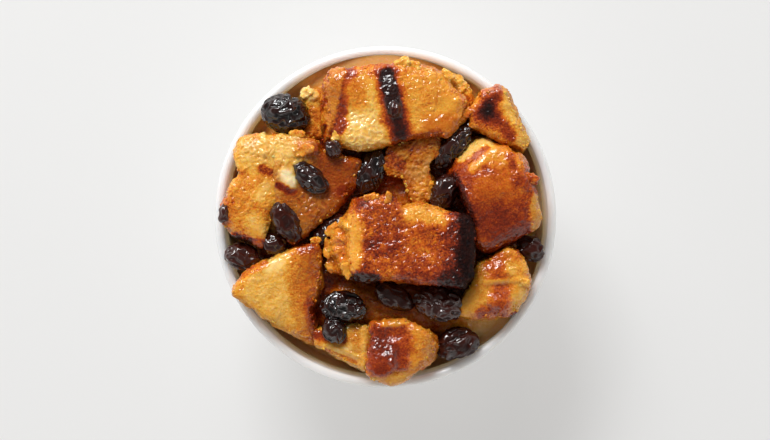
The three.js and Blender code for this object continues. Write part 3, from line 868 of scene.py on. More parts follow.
# %% Chunks along the top
torn_chunk(
    "bread_north", seed=23, top=61.0, foot=41.0, rise=(0.02, 0.02),
    corners=[
        [-20, 20], [-7, 19.8], [1.5, 20.8], [12.5, 24], [19.5, 24.8], [24, 29.5], [25, 35], [15.5, 44.6],
        [7, 46.4], [-12.6, 44.8], [-17, 43.2], [-21.5, 35], [-21.8, 28.5],
    ],
    facets=[(200, 38, 19)], toast=0.40, wet=0.7, crumb=0.7,
    marks=[
        stroke((-8.5, 31), (-6, 25), 12.5, toast=0.18, wet=0.85, froth=0.27, soft=0.5),
        stroke((-20.5, 38), (-22, 24), 4.0, toast=0.46, soak=0.2),
        stroke((-13.0, 43), (-18.2, 21), 8.4, toast=0.71, wet=0.92, soft=0.2),
        stroke((-14.2, 43), (-19.2, 21), 4.2, toast=0.44, soak=0.4, wet=0.8, lift=(0.3, 1.3), soft=0.25),
        stroke((-18, 27), (-18.9, 22), 2.6, toast=0.80, wet=1.0),
        stroke((-8.7, 38), (-8, 35), 6.0, toast=0.46, soft=0.7),
        stroke((13, 38), (16, 33), 15.0, toast=0.40, wet=0.75, soft=0.7),
        stroke((19, 33), (20, 31), 6.0, toast=0.36, wet=0.9, soft=0.7),
        stroke((0.2, 42.5), (5.0, 22.4), 7.6, toast=0.64, wet=0.8),
        stroke((0.4, 42.0), (5.0, 23.2), 5.6, toast=0.79, soak=0.0, wet=0.85),
        stroke((0.6, 42.5), (2.6, 32), 4.4, toast=0.92, wet=0.97, lift=(-1.0, 1.6), soft=0.3),
        stroke((2.8, 32.6), (4.8, 24), 3.0, toast=0.88, wet=0.9, lift=(0.8, 0.0)),
        stroke((14, 27), (20, 28.5), 6.0, toast=0.46, soak=0.45, wet=1.0, lift=0.4, soft=0.7),
        stroke((8, 23), (16, 25), 3.0, toast=0.58, soak=0.5, wet=0.7),
    ],
)
torn_chunk(
    "bread_north_behind", seed=37, top=55.5, foot=41.0, rise=(0.0, -0.05),
    corners=[[16, 31], [26, 29.6], [27.6, 34.4], [25, 40.2], [18.2, 44.4], [12, 46]],
    toast=0.38, crumb=1.2,
    marks=[
        stroke((16, 44), (21, 41), 4.0, toast=0.28),
        stroke((21, 37), (24, 34), 5.0, toast=0.54, soak=0.3),
        stroke((25, 31.5), (26, 30.5), 5.0, toast=0.60, soak=0.5, wet=0.8),
    ],
)
torn_chunk(
    "bread_northwest", seed=41, top=54.0, foot=41.0, rise=(0.05, 0.0),
    corners=[[-25, 23.5], [-17, 23.5], [-17, 34], [-20, 38.8], [-25, 38.4]],
    toast=0.40, soak=0.2, crumb=1.3,
    marks=[
        stroke((-24, 37.5), (-22.6, 36.8), 4.0, toast=0.12, lift=0.6),
        stroke((-21, 30), (-21.5, 25), 5.0, toast=0.48, soak=0.3),
    ],
)
torn_chunk(
    "bread_northeast", seed=43, top=59.5, foot=41.0, rise=(0.05, 0.12),
    corners=[
        [25, 26.5], [30.3, 24], [36.5, 21.8], [41.8, 19.4], [44.4, 22.6], [41, 30.4], [37, 38.6],
        [34, 39.6], [28.5, 37.8], [24.2, 32],
    ],
    facets=[(20, 38, 9.6)], toast=0.42, wet=0.7, crumb=0.7,
    marks=[
        stroke((26, 30), (31, 24.5), 7.0, toast=0.50, wet=0.6, soft=0.6),
        stroke((34.5, 37.5), (43, 22), 5.6, toast=0.30, wet=0.45, soft=0.6),
        stroke((33.4, 38.6), (33.6, 35.5), 3.6, toast=0.56, wet=0.8),
        stroke((30.5, 31), (37.0, 25.4), 4.6, toast=0.66, wet=0.85, soft=0.6),
        stroke((35.4, 27.4), (38, 24), 2.6, toast=0.70, wet=0.8, soft=0.6),
        stroke((32.2, 36.0), (30.8, 31), 4.2, toast=0.76, wet=0.85, soft=0.9),
        stroke((28.8, 31), (32.2, 30.2), 4.6, toast=0.79, wet=0.85, soft=0.9),
        stroke((31, 33.2), (30.6, 31.2), 3.4, toast=0.92, wet=0.9, soft=0.9),
    ],
)

# %% [markdown]
# ### The chunks on the right
# The domed one is glazed orange with one long wet ridge, and turns dull red-brown towards the wall. The
# flatter one below it is yellow with red glazed patches. Between them and the middle lies a thin torn
# bit of dry crumb.

# %% Chunks on the right
torn_chunk(
    "bread_east", seed=53, top=62.0, foot=42.0, rise=(-0.05, 0.12),
    corners=[
        [27, -8.5], [31, -12.3], [36.5, -10.8], [46.4, -4], [47.4, 0], [46.4, 6], [42.8, 12.5], [42, 17],
        [37, 21.3], [29, 24.8], [23, 23.5], [17, 15], [22.8, 5.5], [25, -1],
    ],
    facets=[(140, 35, 15.2), (122, 62, 12.6), (300, 38, 16.2)], toast=0.60, wet=0.75, crumb=0.5,
    marks=[
        stroke((30, 2), (37, -6), 19.0, toast=0.72, soak=0.25, wet=0.82, soft=0.7),
        stroke((31, 9), (37, 11), 10.0, toast=0.57, wet=0.95, soft=0.6),
        stroke((32, 19), (39, 17), 6.0, toast=0.44, wet=0.85, soft=0.6),
        stroke((24, 18.6), (30, 22.6), 5.6, toast=0.20, wet=0.6),
        stroke((23.6, 14.6), (30.4, 20.4), 2.6, toast=0.64, wet=1.0),
        stroke((19, 14.4), (25, 12.6), 5.0, toast=0.68, wet=1.0),
        # A painted highlight: the long wet ridge is painted paler where it shines; it is also glossy and
        # lifted.
        stroke((25.8, 14.1), (33.2, 20.5), 2.0, toast=0.38, wet=1.0, lift=0.3, soft=0.8),
        stroke((37.4, 18.1), (39.6, 10.1), 2.4, toast=0.68, wet=0.8, soft=0.7),
        stroke((40, 11), (45, 9.5), 4.6, toast=0.66, soak=0.2, lift=0.4),
        stroke((45.6, 5), (46, -4), 4.0, toast=0.34, soak=0.3, wet=0.6),
        stroke((20.5, 12), (26, -2), 3.0, toast=0.84, wet=0.6),
    ],
)
torn_chunk(
    "bread_southeast", seed=61, top=57.5, foot=41.0, rise=(-0.02, 0.04),
    corners=[
        [21, -30.5], [30, -31.4], [38.4, -30.8], [42.2, -26.6], [43.8, -21.8], [42.4, -14.6], [40.4, -9.4],
        [37, -8.8], [31, -11.8], [27, -14], [26, -20.5], [22, -26],
    ],
    facets=[(290, 36, 11.6)], toast=0.34, wet=0.75, crumb=0.6,
    marks=[
        stroke((33, -13), (33.6, -18), 6.4, toast=0.62, wet=0.88, soft=0.6, lift=(-0.5, 0.9)),
        stroke((35, -20.8), (34.6, -25), 6.4, toast=0.63, wet=0.88, soft=0.6, lift=(-0.9, 1.6)),
        stroke((29, -28.6), (35, -28.4), 4.4, toast=0.66, wet=0.85, soft=0.7),
        stroke((30.3, -19.6), (41.6, -19.2), 1.6, toast=0.36, wet=1.0, lift=0.3, soft=0.8),
        stroke((38.4, -30.2), (39.4, -29.4), 2.2, toast=0.82),
        stroke((25, -22), (25, -27), 4.6, toast=0.36, wet=0.9),
    ],
)
torn_chunk(
    "bread_torn", seed=67, top=56.5, foot=49.0, rise=(0.02, 0.04),
    corners=[
        [7.4, 4.8], [9, 3.4], [13.4, 5], [14.8, 10.2], [13.4, 13.2], [14.4, 16.8], [17.2, 19], [15.4, 25.2],
        [6.8, 23.4], [1, 21], [-1.2, 15.8], [0.2, 12.6], [5, 11.2],
    ],
    toast=0.30, soak=0.8, wet=0.45, crumb=2.1,
    marks=[
        stroke((1.5, 17.5), (3.5, 16), 4.4, toast=0.60, wet=0.6),
        stroke((9, 20), (11, 21), 5.0, toast=0.52, soak=0.4, soft=0.7),
        stroke((10.6, 8.6), (12, 6), 5.0, toast=0.42, soak=0.3),
    ],
)

# %% [markdown]
# ### The chunks on the left
# Two lobes of one torn slice: the outer one golden, the inner one soaked brown where it dips towards the
# middle. Below them a large pale chunk with fine pores leans against the wall, browned along its right
# side where it sank.

# %% Chunks on the left
torn_chunk(
    "bread_west_outer", seed=71, top=57.5, foot=41.0, rise=(0.06, 0.03),
    corners=[
        [-40.5, -8], [-37, -10], [-35.5, -3], [-32.6, 4], [-30, 10], [-29, 18], [-31, 25.4], [-38, 25.2],
        [-44.2, 24.4], [-46.4, 18], [-44.6, 13.6], [-47.6, 9], [-49.8, 3.4], [-49.4, -3], [-45.8, -6.6],
    ],
    facets=[(215, 42, 16)], toast=0.41, wet=0.65, crumb=0.9,
    marks=[
        stroke((-43, 23), (-40, 21), 7.0, toast=0.42, wet=0.6),
        stroke((-44, 16), (-38, 17), 4.0, toast=0.30, soft=0.7),
        stroke((-36.8, 25), (-36.0, 19), 1.8, toast=0.24, lift=0.4, soft=0.7),
        stroke((-42, 20), (-31, 19), 8.0, toast=0.24, wet=0.8, froth=0.22, soft=0.6),
        stroke((-40, 6), (-44, 0), 11.0, toast=0.46, soft=0.7),
        # A painted highlight: a pale spot where the glaze shines, on a glossy place.
        stroke((-36, 9), (-38, 6), 3.6, toast=0.22, wet=0.9, soft=0.7),
        stroke((-37, 14.4), (-34.8, 13.2), 3.0, toast=0.68),
        stroke((-40, -1), (-37.4, -4), 5.0, toast=0.28, soft=0.7),
        stroke((-46, -6.4), (-38, -8.4), 3.2, toast=0.80, wet=0.8),
        stroke((-38.6, -8), (-37.6, -10), 3.0, toast=0.62, wet=0.9),
        stroke((-48.5, 4), (-49, -2), 4.0, toast=0.54),
    ],
)
torn_chunk(
    "bread_west_inner", seed=73, top=58.0, foot=43.0, rise=(-0.1, 0.06),
    corners=[
        [-28.5, -8.5], [-24, -6.6], [-18.6, -1], [-12.2, 4.6], [-8, 10], [-7.8, 17], [-18.5, 20.6],
        [-21, 23], [-26, 25], [-33, 24.6], [-34, 14], [-34.6, 4], [-33.6, -3],
    ],
    facets=[(320, 30, 14)], toast=0.40, soak=0.8, wet=0.7, crumb=0.8,
    marks=[
        stroke((-33, 22), (-27, 18), 9.0, toast=0.22, soak=0.1, wet=0.8, froth=0.25, soft=0.7),
        stroke((-25.6, 19.6), (-22.6, 20.8), 5.0, toast=0.48, wet=0.7, lift=0.8),
        stroke((-21, 20), (-17, 20), 3.4, toast=0.60, wet=0.8),
        stroke((-14, 15), (-13, 6), 15.0, toast=0.45, soak=1.0, wet=0.8, soft=0.6),
        stroke((-29.8, 12.4), (-28.4, 10.2), 4.2, toast=0.0, soak=0.0, wet=1.0, lift=0.5, soft=0.6),
        stroke((-32, 9.4), (-26.6, 6.6), 2.4, toast=0.72, wet=1.0),
        stroke((-33, 2), (-33.6, -3), 3.4, toast=0.12, soak=0.2),
        stroke((-24, 4), (-17, 0), 9.0, toast=0.40, soak=0.8, froth=0.3, soft=0.7),
        stroke((-12.4, 8.4), (-13.4, 7.4), 2.4, toast=0.60, wet=1.0),
    ],
)
torn_chunk(
    "bread_southwest", seed=79, top=57.5, foot=41.0, rise=(-0.04, 0.1),
    corners=[
        [-20.5, -39.5], [-21, -33], [-22.4, -27], [-18.4, -20.5], [-18.8, -13], [-20, -8], [-26.5, -8.6],
        [-33.6, -12], [-40.6, -15.6], [-45, -19.4], [-46.6, -23.4], [-40.6, -28], [-33.8, -32.4],
        [-28, -36],
    ],
    facets=[(345, 40, 12.5)], toast=0.33, wet=0.47, crumb=0.6,
    marks=[
        stroke((-38, -21), (-30, -26), 13.0, toast=0.26, wet=0.36, soft=0.7),
        # A painted highlight: a pale glossy streak along the upper edge, where it shines.
        stroke((-35, -15), (-29.6, -13), 4.0, toast=0.12, wet=1.0, soft=0.7),
        stroke((-26.6, -11), (-24.4, -34), 6.0, toast=0.46, wet=0.7, soft=0.7),
        stroke((-22.5, -10), (-21, -24), 7.0, toast=0.50, soak=0.45, wet=0.8, soft=0.6),
        stroke((-25, -9.4), (-20, -9), 3.6, toast=0.62, wet=0.7),
        stroke((-22.0, -27.5), (-20.0, -36), 5.0, toast=0.70, wet=1.0, soft=0.6),
        stroke((-44.5, -20), (-46, -23.5), 4.0, toast=0.42, soft=0.7),
        stroke((-44, -18), (-36, -14), 2.2, toast=0.52, soft=0.7),
    ],
)

# %% [markdown]
# ### The chunks at the bottom
# A glazed square one hangs over the rim, and a stringy strip of bread lies beside it.

# %% Chunks at the bottom
torn_chunk(
    "bread_south_strip", seed=83, top=54.0, foot=41.0, rise=(0.05, 0.06),
    corners=[
        [-21.5, -39], [-14, -43.4], [-6, -46.8], [-4.6, -40], [-4, -33.8], [-10, -32.2], [-19, -33],
        [-24, -34.5],
    ],
    toast=0.18, wet=0.7, crumb=0.6,
    marks=[
        stroke((-21, -35.6), (-12.6, -37), 3.6, toast=0.70, wet=1.0, soft=0.7),
        stroke((-9, -35), (-8, -40), 5.0, toast=0.42, wet=0.7, soft=0.7),
        stroke((-6.6, -33), (-6.2, -45.6), 1.8, toast=0.28, lift=0.5, soft=0.6),
        stroke((-18, -40.4), (-9, -44), 1.2, toast=0.50, lift=-0.3, soft=0.6),
        stroke((-16, -39), (-8, -42.4), 1.0, toast=0.26, lift=0.3, soft=0.6),
    ],
)
torn_chunk(
    "bread_south", seed=89, top=58.5, foot=41.0, rise=(0.0, 0.06),
    corners=[
        [-6, -47.6], [1.2, -51], [6.2, -50.2], [14.6, -43.2], [16.4, -38.2], [14, -34.8], [5.4, -30.8],
        [-4.6, -31.6], [-5.2, -40],
    ],
    facets=[(350, 32, 11.2)], toast=0.50, wet=0.75, crumb=0.7,
    marks=[
        stroke((-4, -50), (8, -50), 6.0, toast=0.36, soft=0.6),
        stroke((11, -34), (13.6, -44), 6.4, toast=0.44, soft=0.6),
        stroke((-1.0, -35.4), (-0.6, -43.6), 8.0, toast=0.72, wet=0.88, soft=0.25, lift=(-0.5, 0.9)),
        stroke((3.4, -35.6), (4.2, -43.0), 6.8, toast=0.68, wet=0.88, soft=0.35, lift=(-0.5, 0.9)),
        stroke((-1.5, -37), (2, -41), 5.0, toast=0.78, wet=0.85, soft=0.8),
        stroke((-0.5, -32.2), (6.5, -31.6), 1.8, toast=0.40, wet=1.0, lift=0.4, soft=0.7),
    ],
)

# %% [markdown]
# ### Torn bits
# Pulling bread apart leaves flaps that curl, nubs and crumbs. Each is a small pressed ball, bent along
# its length, set down on whatever chunk lies under it. The placed ones are the larger flaps and nubs; the
# rest is scattered along the chunks' ragged shoulders. Together they are one mesh.

# %% One torn bit
BIT_REACH = 0.8  # how far round its middle a bit finds what it lies on
BIT_CELL = 0.35
BIT_SQUARENESS = 3
BIT_ROUGHNESS = 0.30  # as a share of its size
BIT_LUMP_SHARE = 0.8  # how far apart its lumps are, as a share of its half length


def torn_bit(at, size, turn, climb, bend, seed, cell=BIT_CELL):
    """A squared ball pressed to `size`: each grid point is divided by its 3-norm. Its skin is roughened,
    its ends are lifted by bend * (x / half length)^2, and it is tilted, turned and set down."""
    half = np.array(size) / 2
    lattice, quads = box_skin(np.ceil(2 * half / cell))
    points = lattice / (np.abs(lattice) ** BIT_SQUARENESS).sum(axis=1, keepdims=True) ** (1 / BIT_SQUARENESS)
    points = points * half
    lumps = rough_hills(points, max(half[0], 1.0) * BIT_LUMP_SHARE, 3, seed)
    points = points * (1 + BIT_ROUGHNESS * lumps)[:, None]
    points[:, 2] += bend * (points[:, 0] / half[0]) ** 2
    return points @ tilted_and_turned(climb, turn).T + np.array(at), quads


def tilted_and_turned(climb, turn):
    """The matrix that lifts the +X end by `climb` and then turns it towards +Y by `turn`, in degrees."""
    tilt, spin = np.radians(climb), np.radians(turn)
    lean = np.array([[np.cos(tilt), 0, -np.sin(tilt)], [0, 1, 0], [np.sin(tilt), 0, np.cos(tilt)]])
    swing = np.array([[np.cos(spin), -np.sin(spin), 0], [np.sin(spin), np.cos(spin), 0], [0, 0, 1]])
    return swing @ lean


def height_of_bread(x, y):
    """The highest point of any chunk under a bit at (x, y), or the custard's level if there is none."""
    tops = []
    for points, _, _ in finished_chunks:
        tops.append(points[np.hypot(points[:, 0] - x, points[:, 1] - y) < BIT_REACH, 2])
    return max([top.max() for top in tops if len(top)], default=CUSTARD_LEVEL)


# %% Place and scatter the torn bits
PLACED_BITS = [
    # x, y, sunk, (length, width, thickness), turn, climb, bend, toast, wet
    (-16.0, -4.2, 1.3, (4.6, 3.4, 1.6), 40, 0, 0.3, 0.42, 0.9),
    (-17.4, -9.6, 1.3, (5.6, 2.8, 1.8), 80, 0, 0.2, 0.40, 0.9),
    (-16.2, -14.8, 1.5, (4.6, 3.6, 2.4), 120, 0, 0.2, 0.44, 0.9),
    (-11.6, -16.0, 0.7, (4.6, 2.8, 1.8), 110, 10, 0.5, 0.38, 0.9),
    (0.8, 5.8, -0.2, (4.4, 1.8, 1.6), 80, 30, 0.2, 0.40, 0.5),
    (-4.0, 5.6, 0.6, (4.6, 2.6, 1.6), 10, 0, 0.4, 0.50, 0.6),
    (5.2, 46.0, 1.3, (4.6, 3.4, 2.6), 20, 15, 0.3, 0.30, 0.5),
    (8.8, 45.2, 1.4, (4.2, 3.0, 2.4), -20, 10, 0.3, 0.34, 0.5),
    (-23.8, 37.4, 0.8, (3.8, 3.2, 2.4), 30, 10, 0.3, 0.16, 0.6),
    (18.8, 42.4, 0.9, (4.4, 3.0, 2.4), -30, 10, 0.3, 0.30, 0.5),
    (22.6, 39.4, 0.9, (4.0, 2.8, 2.0), -60, 10, 0.3, 0.38, 0.5),
    (24.8, 31.4, 0.6, (4.0, 2.4, 1.8), 30, 0, 0.3, 0.54, 0.9),
    (41.8, -19.8, 0.8, (3.4, 2.6, 2.4), 0, 10, 0.2, 0.34, 0.6),
    (43.8, 11.4, 0.9, (4.6, 3.0, 2.2), -30, 0, 0.3, 0.62, 0.5),
    (13.4, 9.4, 0.7, (3.2, 2.2, 1.4), 50, 20, 0.4, 0.40, 0.3),
    (-24.2, 20.2, 0.5, (5.6, 3.2, 1.8), 25, 15, 1.0, 0.46, 0.8),
    (-21.2, -7.2, 0.7, (3.2, 2.2, 1.6), 20, 0, 0.3, 0.42, 0.5),
    (-14.8, 24.0, 0.8, (3.4, 2.6, 1.8), 70, 0, 0.3, 0.30, 0.9),
    (-26.6, 24.8, 1.0, (5.0, 2.6, 2.0), 0, 0, 0.4, 0.38, 0.6),
    (12.8, -33.0, 0.8, (4.4, 3.0, 2.0), 20, 0, 0.4, 0.36, 0.6),
]
SCATTERED_PER_CHUNK = 32
SCATTERED_CELL = 0.4
SCATTERED_LENGTH = (0.5, 1.1)
SCATTERED_WIDTH = (0.6, 0.9)  # as a share of the length, and so is the thickness
SCATTERED_THICKNESS = (0.5, 0.7)
SCATTERED_TOAST = (-0.08, 0.06)  # against the chunk below
SCATTERED_CLIMB = (-20, 20)
SCATTERED_WET = (0.3, 0.8)
SCATTERED_BEND = 0.1
SHOULDER_TILT = (0.35, 0.8)  # the upward part of the normal where a chunk turns down
SHOULDER_LOWEST = 50.0
BIT_TOAST_WANDER, BIT_TOAST_SIZE = 0.10, 1.6

chance = np.random.default_rng(17)
bit_points, bit_quads, bit_toast, bit_wet = [], [], [], []


def keep_bit(points, quads, toast, wet):
    """Adds a bit to the one mesh of bits; its faces count on from the points already there."""
    start = sum(len(kept) for kept in bit_points)
    bit_points.append(points)
    bit_quads.append(quads + start)
    bit_toast.append(np.clip(toast + BIT_TOAST_WANDER * hills(points, BIT_TOAST_SIZE, 5), 0, 1))
    bit_wet.append(np.full(len(points), wet))


for seed, (x, y, sunk, size, turn, climb, bend, toast, wet) in enumerate(PLACED_BITS, start=500):
    rest = height_of_bread(x, y) - sunk
    keep_bit(*torn_bit((x, y, rest), size, turn, climb, bend, seed), toast, wet)
for chunk_points, chunk_toast, chunk_normals in finished_chunks:
    tilt = chunk_normals[:, 2]
    shoulder = (tilt > SHOULDER_TILT[0]) & (tilt < SHOULDER_TILT[1])
    shoulder &= chunk_points[:, 2] > SHOULDER_LOWEST
    for index in chance.choice(np.flatnonzero(shoulder), SCATTERED_PER_CHUNK):
        length = chance.uniform(*SCATTERED_LENGTH)
        width = length * chance.uniform(*SCATTERED_WIDTH)
        size = (length, width, length * chance.uniform(*SCATTERED_THICKNESS))
        toast = np.clip(chunk_toast[index] + chance.uniform(*SCATTERED_TOAST), 0.1, 0.95)
        turn, climb = chance.uniform(0, 360), chance.uniform(*SCATTERED_CLIMB)
        at, seed = chunk_points[index], int(index)
        bit, quads = torn_bit(at, size, turn, climb, SCATTERED_BEND, seed, SCATTERED_CELL)
        keep_bit(bit, quads, toast, chance.uniform(*SCATTERED_WET))

bits = kept_inside(np.concatenate(bit_points))
bit_attributes = {
    "toast": np.concatenate(bit_toast), "soak": np.zeros(len(bits)), "wet": np.concatenate(bit_wet)}
make_object("torn_bits", bits, [np.concatenate(bit_quads)], bit_attributes, bread)

# %% [markdown]
# ## The custard
# Between the chunks lies set custard with bread soaked to a pulp: brown, glossy and stringy. It is one
# drum that fills the bowl. Its upper rings are lifted to an uneven surface that drops away along the
# wall, except at two shelves, where it was filled to the brim. A thin skin clings to the wall.

# %% Surface of the custard
CUSTARD_DIP = 10.5  # how far it drops at the wall
CUSTARD_TURN_DOWN = 9
CUSTARD_WAVE = 0.7
SHELVES = [(-42.0, 17.0, 0.8), (92.0, 32.0, 0.97)]  # compass, half width, share of the dip filled in
MOUND_AT = (4.0, -27.0)
MOUND_REACH = (13.0, 6.5)
MOUND_HEIGHT = 2.2
CUSTARD_RINGS = 150
CUSTARD_SECTORS = 520
CUSTARD_SIDE_ROWS = 30
DRUM_TOP = 2.0  # on the drum the side runs from 0 to 1, and this marks the rings of its top
RING_CROWDING = 0.8  # below 1 the rings are closer together near the wall
SKIN_LOW, SKIN_HIGH = 45.4, 49.3  # how high the custard's skin clings to the wall, and at the shelves
SKIN_REACH = 3.8  # its width where it curves down into the heap


def filled_share(x, y):
    """0 where the custard dips at the wall and near 1 at a shelf: the largest of two bells round the
    compass."""
    filled = np.zeros(np.shape(x))
    for compass, half_width, share in SHELVES:
        filled = np.maximum(filled, share * bell(compass_away(x, y, compass), half_width))
    return filled


def custard_edge(x, y):
    """Height at the wall: the level less the part of the dip that isn't filled in."""
    return CUSTARD_LEVEL - CUSTARD_DIP * (1 - filled_share(x, y))


def custard_height(x, y):
    """The level, less the drop to the edge times the ninth power of the way out, plus the frame's slow
    waves, which calm down towards the wall, and a bell-shaped mound."""
    edge = custard_edge(x, y)
    out = np.minimum(np.hypot(x, y) / (inner_radius(edge) - GAP), 1.0)
    uneven = np.sin(x / 7 + 1) * np.cos(y / 6) + 0.5 * np.sin(y / 4 - x / 9)
    mound = bell(x - MOUND_AT[0], MOUND_REACH[0]) * bell(y - MOUND_AT[1], MOUND_REACH[1])
    drop = (CUSTARD_LEVEL - edge) * out**CUSTARD_TURN_DOWN
    return CUSTARD_LEVEL - drop + CUSTARD_WAVE * uneven * (1 - out**4) + MOUND_HEIGHT * mound


ring_shares = np.linspace(0, 1, CUSTARD_RINGS + 1)[1:] ** RING_CROWDING
side_shares = np.linspace(0, 1, CUSTARD_SIDE_ROWS)
drum_profile = np.concatenate([
    [[0, 0]], np.stack([np.ones(CUSTARD_SIDE_ROWS), side_shares], axis=1),
    np.stack([ring_shares[::-1], np.full(CUSTARD_RINGS, DRUM_TOP)], axis=1), [[0, DRUM_TOP]],
])
drum, custard_faces = turned(drum_profile, CUSTARD_SECTORS)
on_top = drum[:, 2] == DRUM_TOP
shelf = filled_share(drum[:, 0], drum[:, 1])
cling = SKIN_LOW + (SKIN_HIGH - SKIN_LOW) * shelf
custard_foot = FLOOR_HEIGHT + GAP
side_height = custard_foot + drum[:, 2] * (cling - GAP - custard_foot)
side_reach = inner_radius(np.minimum(side_height, cling)) - GAP
reach = np.where(on_top, inner_radius(cling) - WALL_CLEARANCE, side_reach)
spread = drum * [1, 1, 0] * reach[:, None]
from_axis = np.hypot(spread[:, 0], spread[:, 1])
inward = 1 - np.clip(from_axis / inner_radius(CUSTARD_LEVEL - CUSTARD_DIP), 0, 1) ** 8
skin = np.exp(-(inner_radius(cling) - from_axis) / SKIN_REACH)

# %% Pulp, fibres and lighter places
FIBRE_STRETCH = np.array([0.35, 1.3, 1.0])  # below 1 it draws the noise out along X
CUSTARD_MARKS = [
    stroke((-11, -24), (-4, -33), 9.0, soft=0.6, toast=0.44, soak=0.5, lift=1.6),
    stroke((-4, -27), (16, -28), 12.0, soft=0.6, toast=0.48, soak=0.5, lift=1.4),
    stroke((24, -34), (37, -31), 12.0, soft=0.6, toast=0.46, soak=0.0, lift=3.4),
    stroke((-20, 47), (14, 47), 12.0, soft=0.6, toast=0.28, soak=0.4, lift=0.2),
    stroke((2, 10), (6, 7), 8.0, soft=0.6, toast=0.52, soak=0.6, lift=1.8),
    stroke((-35, -1), (-33, -6), 4.0, soft=0.6, toast=0.14, soak=0.2, lift=4.0),
    stroke((44, -2), (45, -6), 5.0, soft=0.6, toast=0.30, soak=0.4, lift=2.0),
]
PULP_HEIGHT, PULP_SIZE = 0.5, 5.0
FIBRE_HEIGHT, FIBRE_SIZE = 0.30, 2.0
PULP_GRAIN_HEIGHT, PULP_GRAIN_SIZE = 0.12, 0.9
CUSTARD_TOAST, CUSTARD_TOAST_WANDER, CUSTARD_TOAST_SIZE = 0.62, 0.12, 7.0
FIBRE_TOAST = 0.06
CUSTARD_SOAK = 0.6
CUSTARD_WET, CUSTARD_WET_WANDER, CUSTARD_WET_SIZE = 0.75, 0.3, 4.0
SKIN_TOAST = 0.02
SHELF_TOAST = 0.10
SKIN_SOAK = 0.4
SKIN_SHOWN = 1.6  # above 1, the skin's colour reaches further in than its lift

combed = stirred_up(spread, size=6.0, amount=1.2, seed=97) * FIBRE_STRETCH
fibres = hills(combed, FIBRE_SIZE, 101)
lumps = PULP_HEIGHT * rough_hills(spread, PULP_SIZE, 4, 103) + FIBRE_HEIGHT * fibres
lumps = lumps + PULP_GRAIN_HEIGHT * hills(spread, PULP_GRAIN_SIZE, 107)
custard_lift = lumps * inward
custard_toast = CUSTARD_TOAST + CUSTARD_TOAST_WANDER * rough_hills(spread, CUSTARD_TOAST_SIZE, 3, 109)
custard_toast = custard_toast - FIBRE_TOAST * fibres
custard_soak = np.full(len(spread), CUSTARD_SOAK)
for number, mark in enumerate(CUSTARD_MARKS):
    share, _ = mark_share(spread, mark, 211 + number)
    custard_toast += share * (mark["toast"] - custard_toast)
    custard_soak += share * (mark["soak"] - custard_soak)
    custard_lift += share * mark["lift"] * inward
skin_shown = np.clip(SKIN_SHOWN * skin, 0, 1)
custard_toast += skin_shown * (SKIN_TOAST + SHELF_TOAST * shelf - custard_toast)
custard_soak += skin_shown * (SKIN_SOAK - custard_soak)
lifted = custard_height(spread[:, 0], spread[:, 1]) + custard_lift
lifted += skin * (cling - lifted)
custard_points = np.column_stack([spread[:, :2], np.where(on_top, lifted, side_height)])
custard_attributes = {
    "toast": custard_toast,
    "soak": custard_soak,
    "wet": np.clip(CUSTARD_WET + CUSTARD_WET_WANDER * hills(spread, CUSTARD_WET_SIZE, 113), 0, 1),
}
custard_finish = bread_finish("soaked_custard", grain_depth=0.25)
make_object("custard_set", kept_inside(custard_points), custard_faces, custard_attributes, custard_finish,
            ["custard"])

# %% [markdown]
# ## Raisins
# A raisin is a grape that lost its water: the skin is too large for what is inside, so it folds into
# long rounded ridges. Soaked in syrup, the ridges shine white where they lean towards the window, and
# the rest is nearly black. The grid is a ball pressed to the raisin's size; a ridge is a bell-shaped wall
# along the lines where a stirred, lengthwise stretched noise passes through zero.

# %% Raisin finish
RIDGE_COLOUR = light_value(62, 22, 14)
HOLLOW_COLOUR = light_value(7, 3, 3)
SYRUP_COAT_IOR = 1.66
BLOTCH_SCALE = 320.0
BLOTCH_SWING = 0.25
SKIN_GRAIN_SCALE = 1500.0
SKIN_GRAIN_DEPTH = 0.07


def raisin_finish():
    """Nearly black in the hollows and dark brown on the ridges, in blotches, under a coat of syrup that
    is thin where the gloss is low."""
    material, tree = new_finish("raisin_skin")
    place = own_place(tree)
    gloss = painted(tree, "gloss")
    blotches = centred_noise(tree, place, BLOTCH_SCALE, 4.0, BLOTCH_SWING)
    blotched = maths(tree, "ADD", painted(tree, "ridge"), blotches, clamp=True)
    shade(tree, {
        "Base Color": mixed(tree, blotched, HOLLOW_COLOUR, RIDGE_COLOUR),
        "Roughness": mapped(tree, gloss, (0.0, 1.0), (0.5, 0.2)), "Specular IOR Level": SKIN_SPECULAR,
        "Normal": bumped(tree, noise(tree, place, SKIN_GRAIN_SCALE, 3.0), SKIN_GRAIN_DEPTH),
        "Coat Weight": mapped(tree, gloss, (0.1, 0.7), (0.0, 1.0)), "Coat Roughness": COAT_ROUGHNESS,
        "Coat IOR": SYRUP_COAT_IOR,
    })
    return material


raisin_skin = raisin_finish()

# %% Skin of a raisin
RAISIN_CELL = 0.19
RAISIN_UNEVEN = 0.08  # as a share of its size
RIDGE_HEIGHT, RIDGE_SIZE, RIDGE_WIDTH = 0.56, 2.5, 0.34
FINE_CREASE_HEIGHT, FINE_CREASE_SIZE, FINE_CREASE_WIDTH = 0.12, 1.3, 0.2
HOLLOW_DEPTH, HOLLOW_SIZE = 0.45, 3.4
RAISIN_INSET = 0.3  # the skin is drawn in, so that its ridges end near the given size
RIDGE_BROWN = 0.4
GLOSS_WANDER, GLOSS_SIZE = 0.35, 2.5


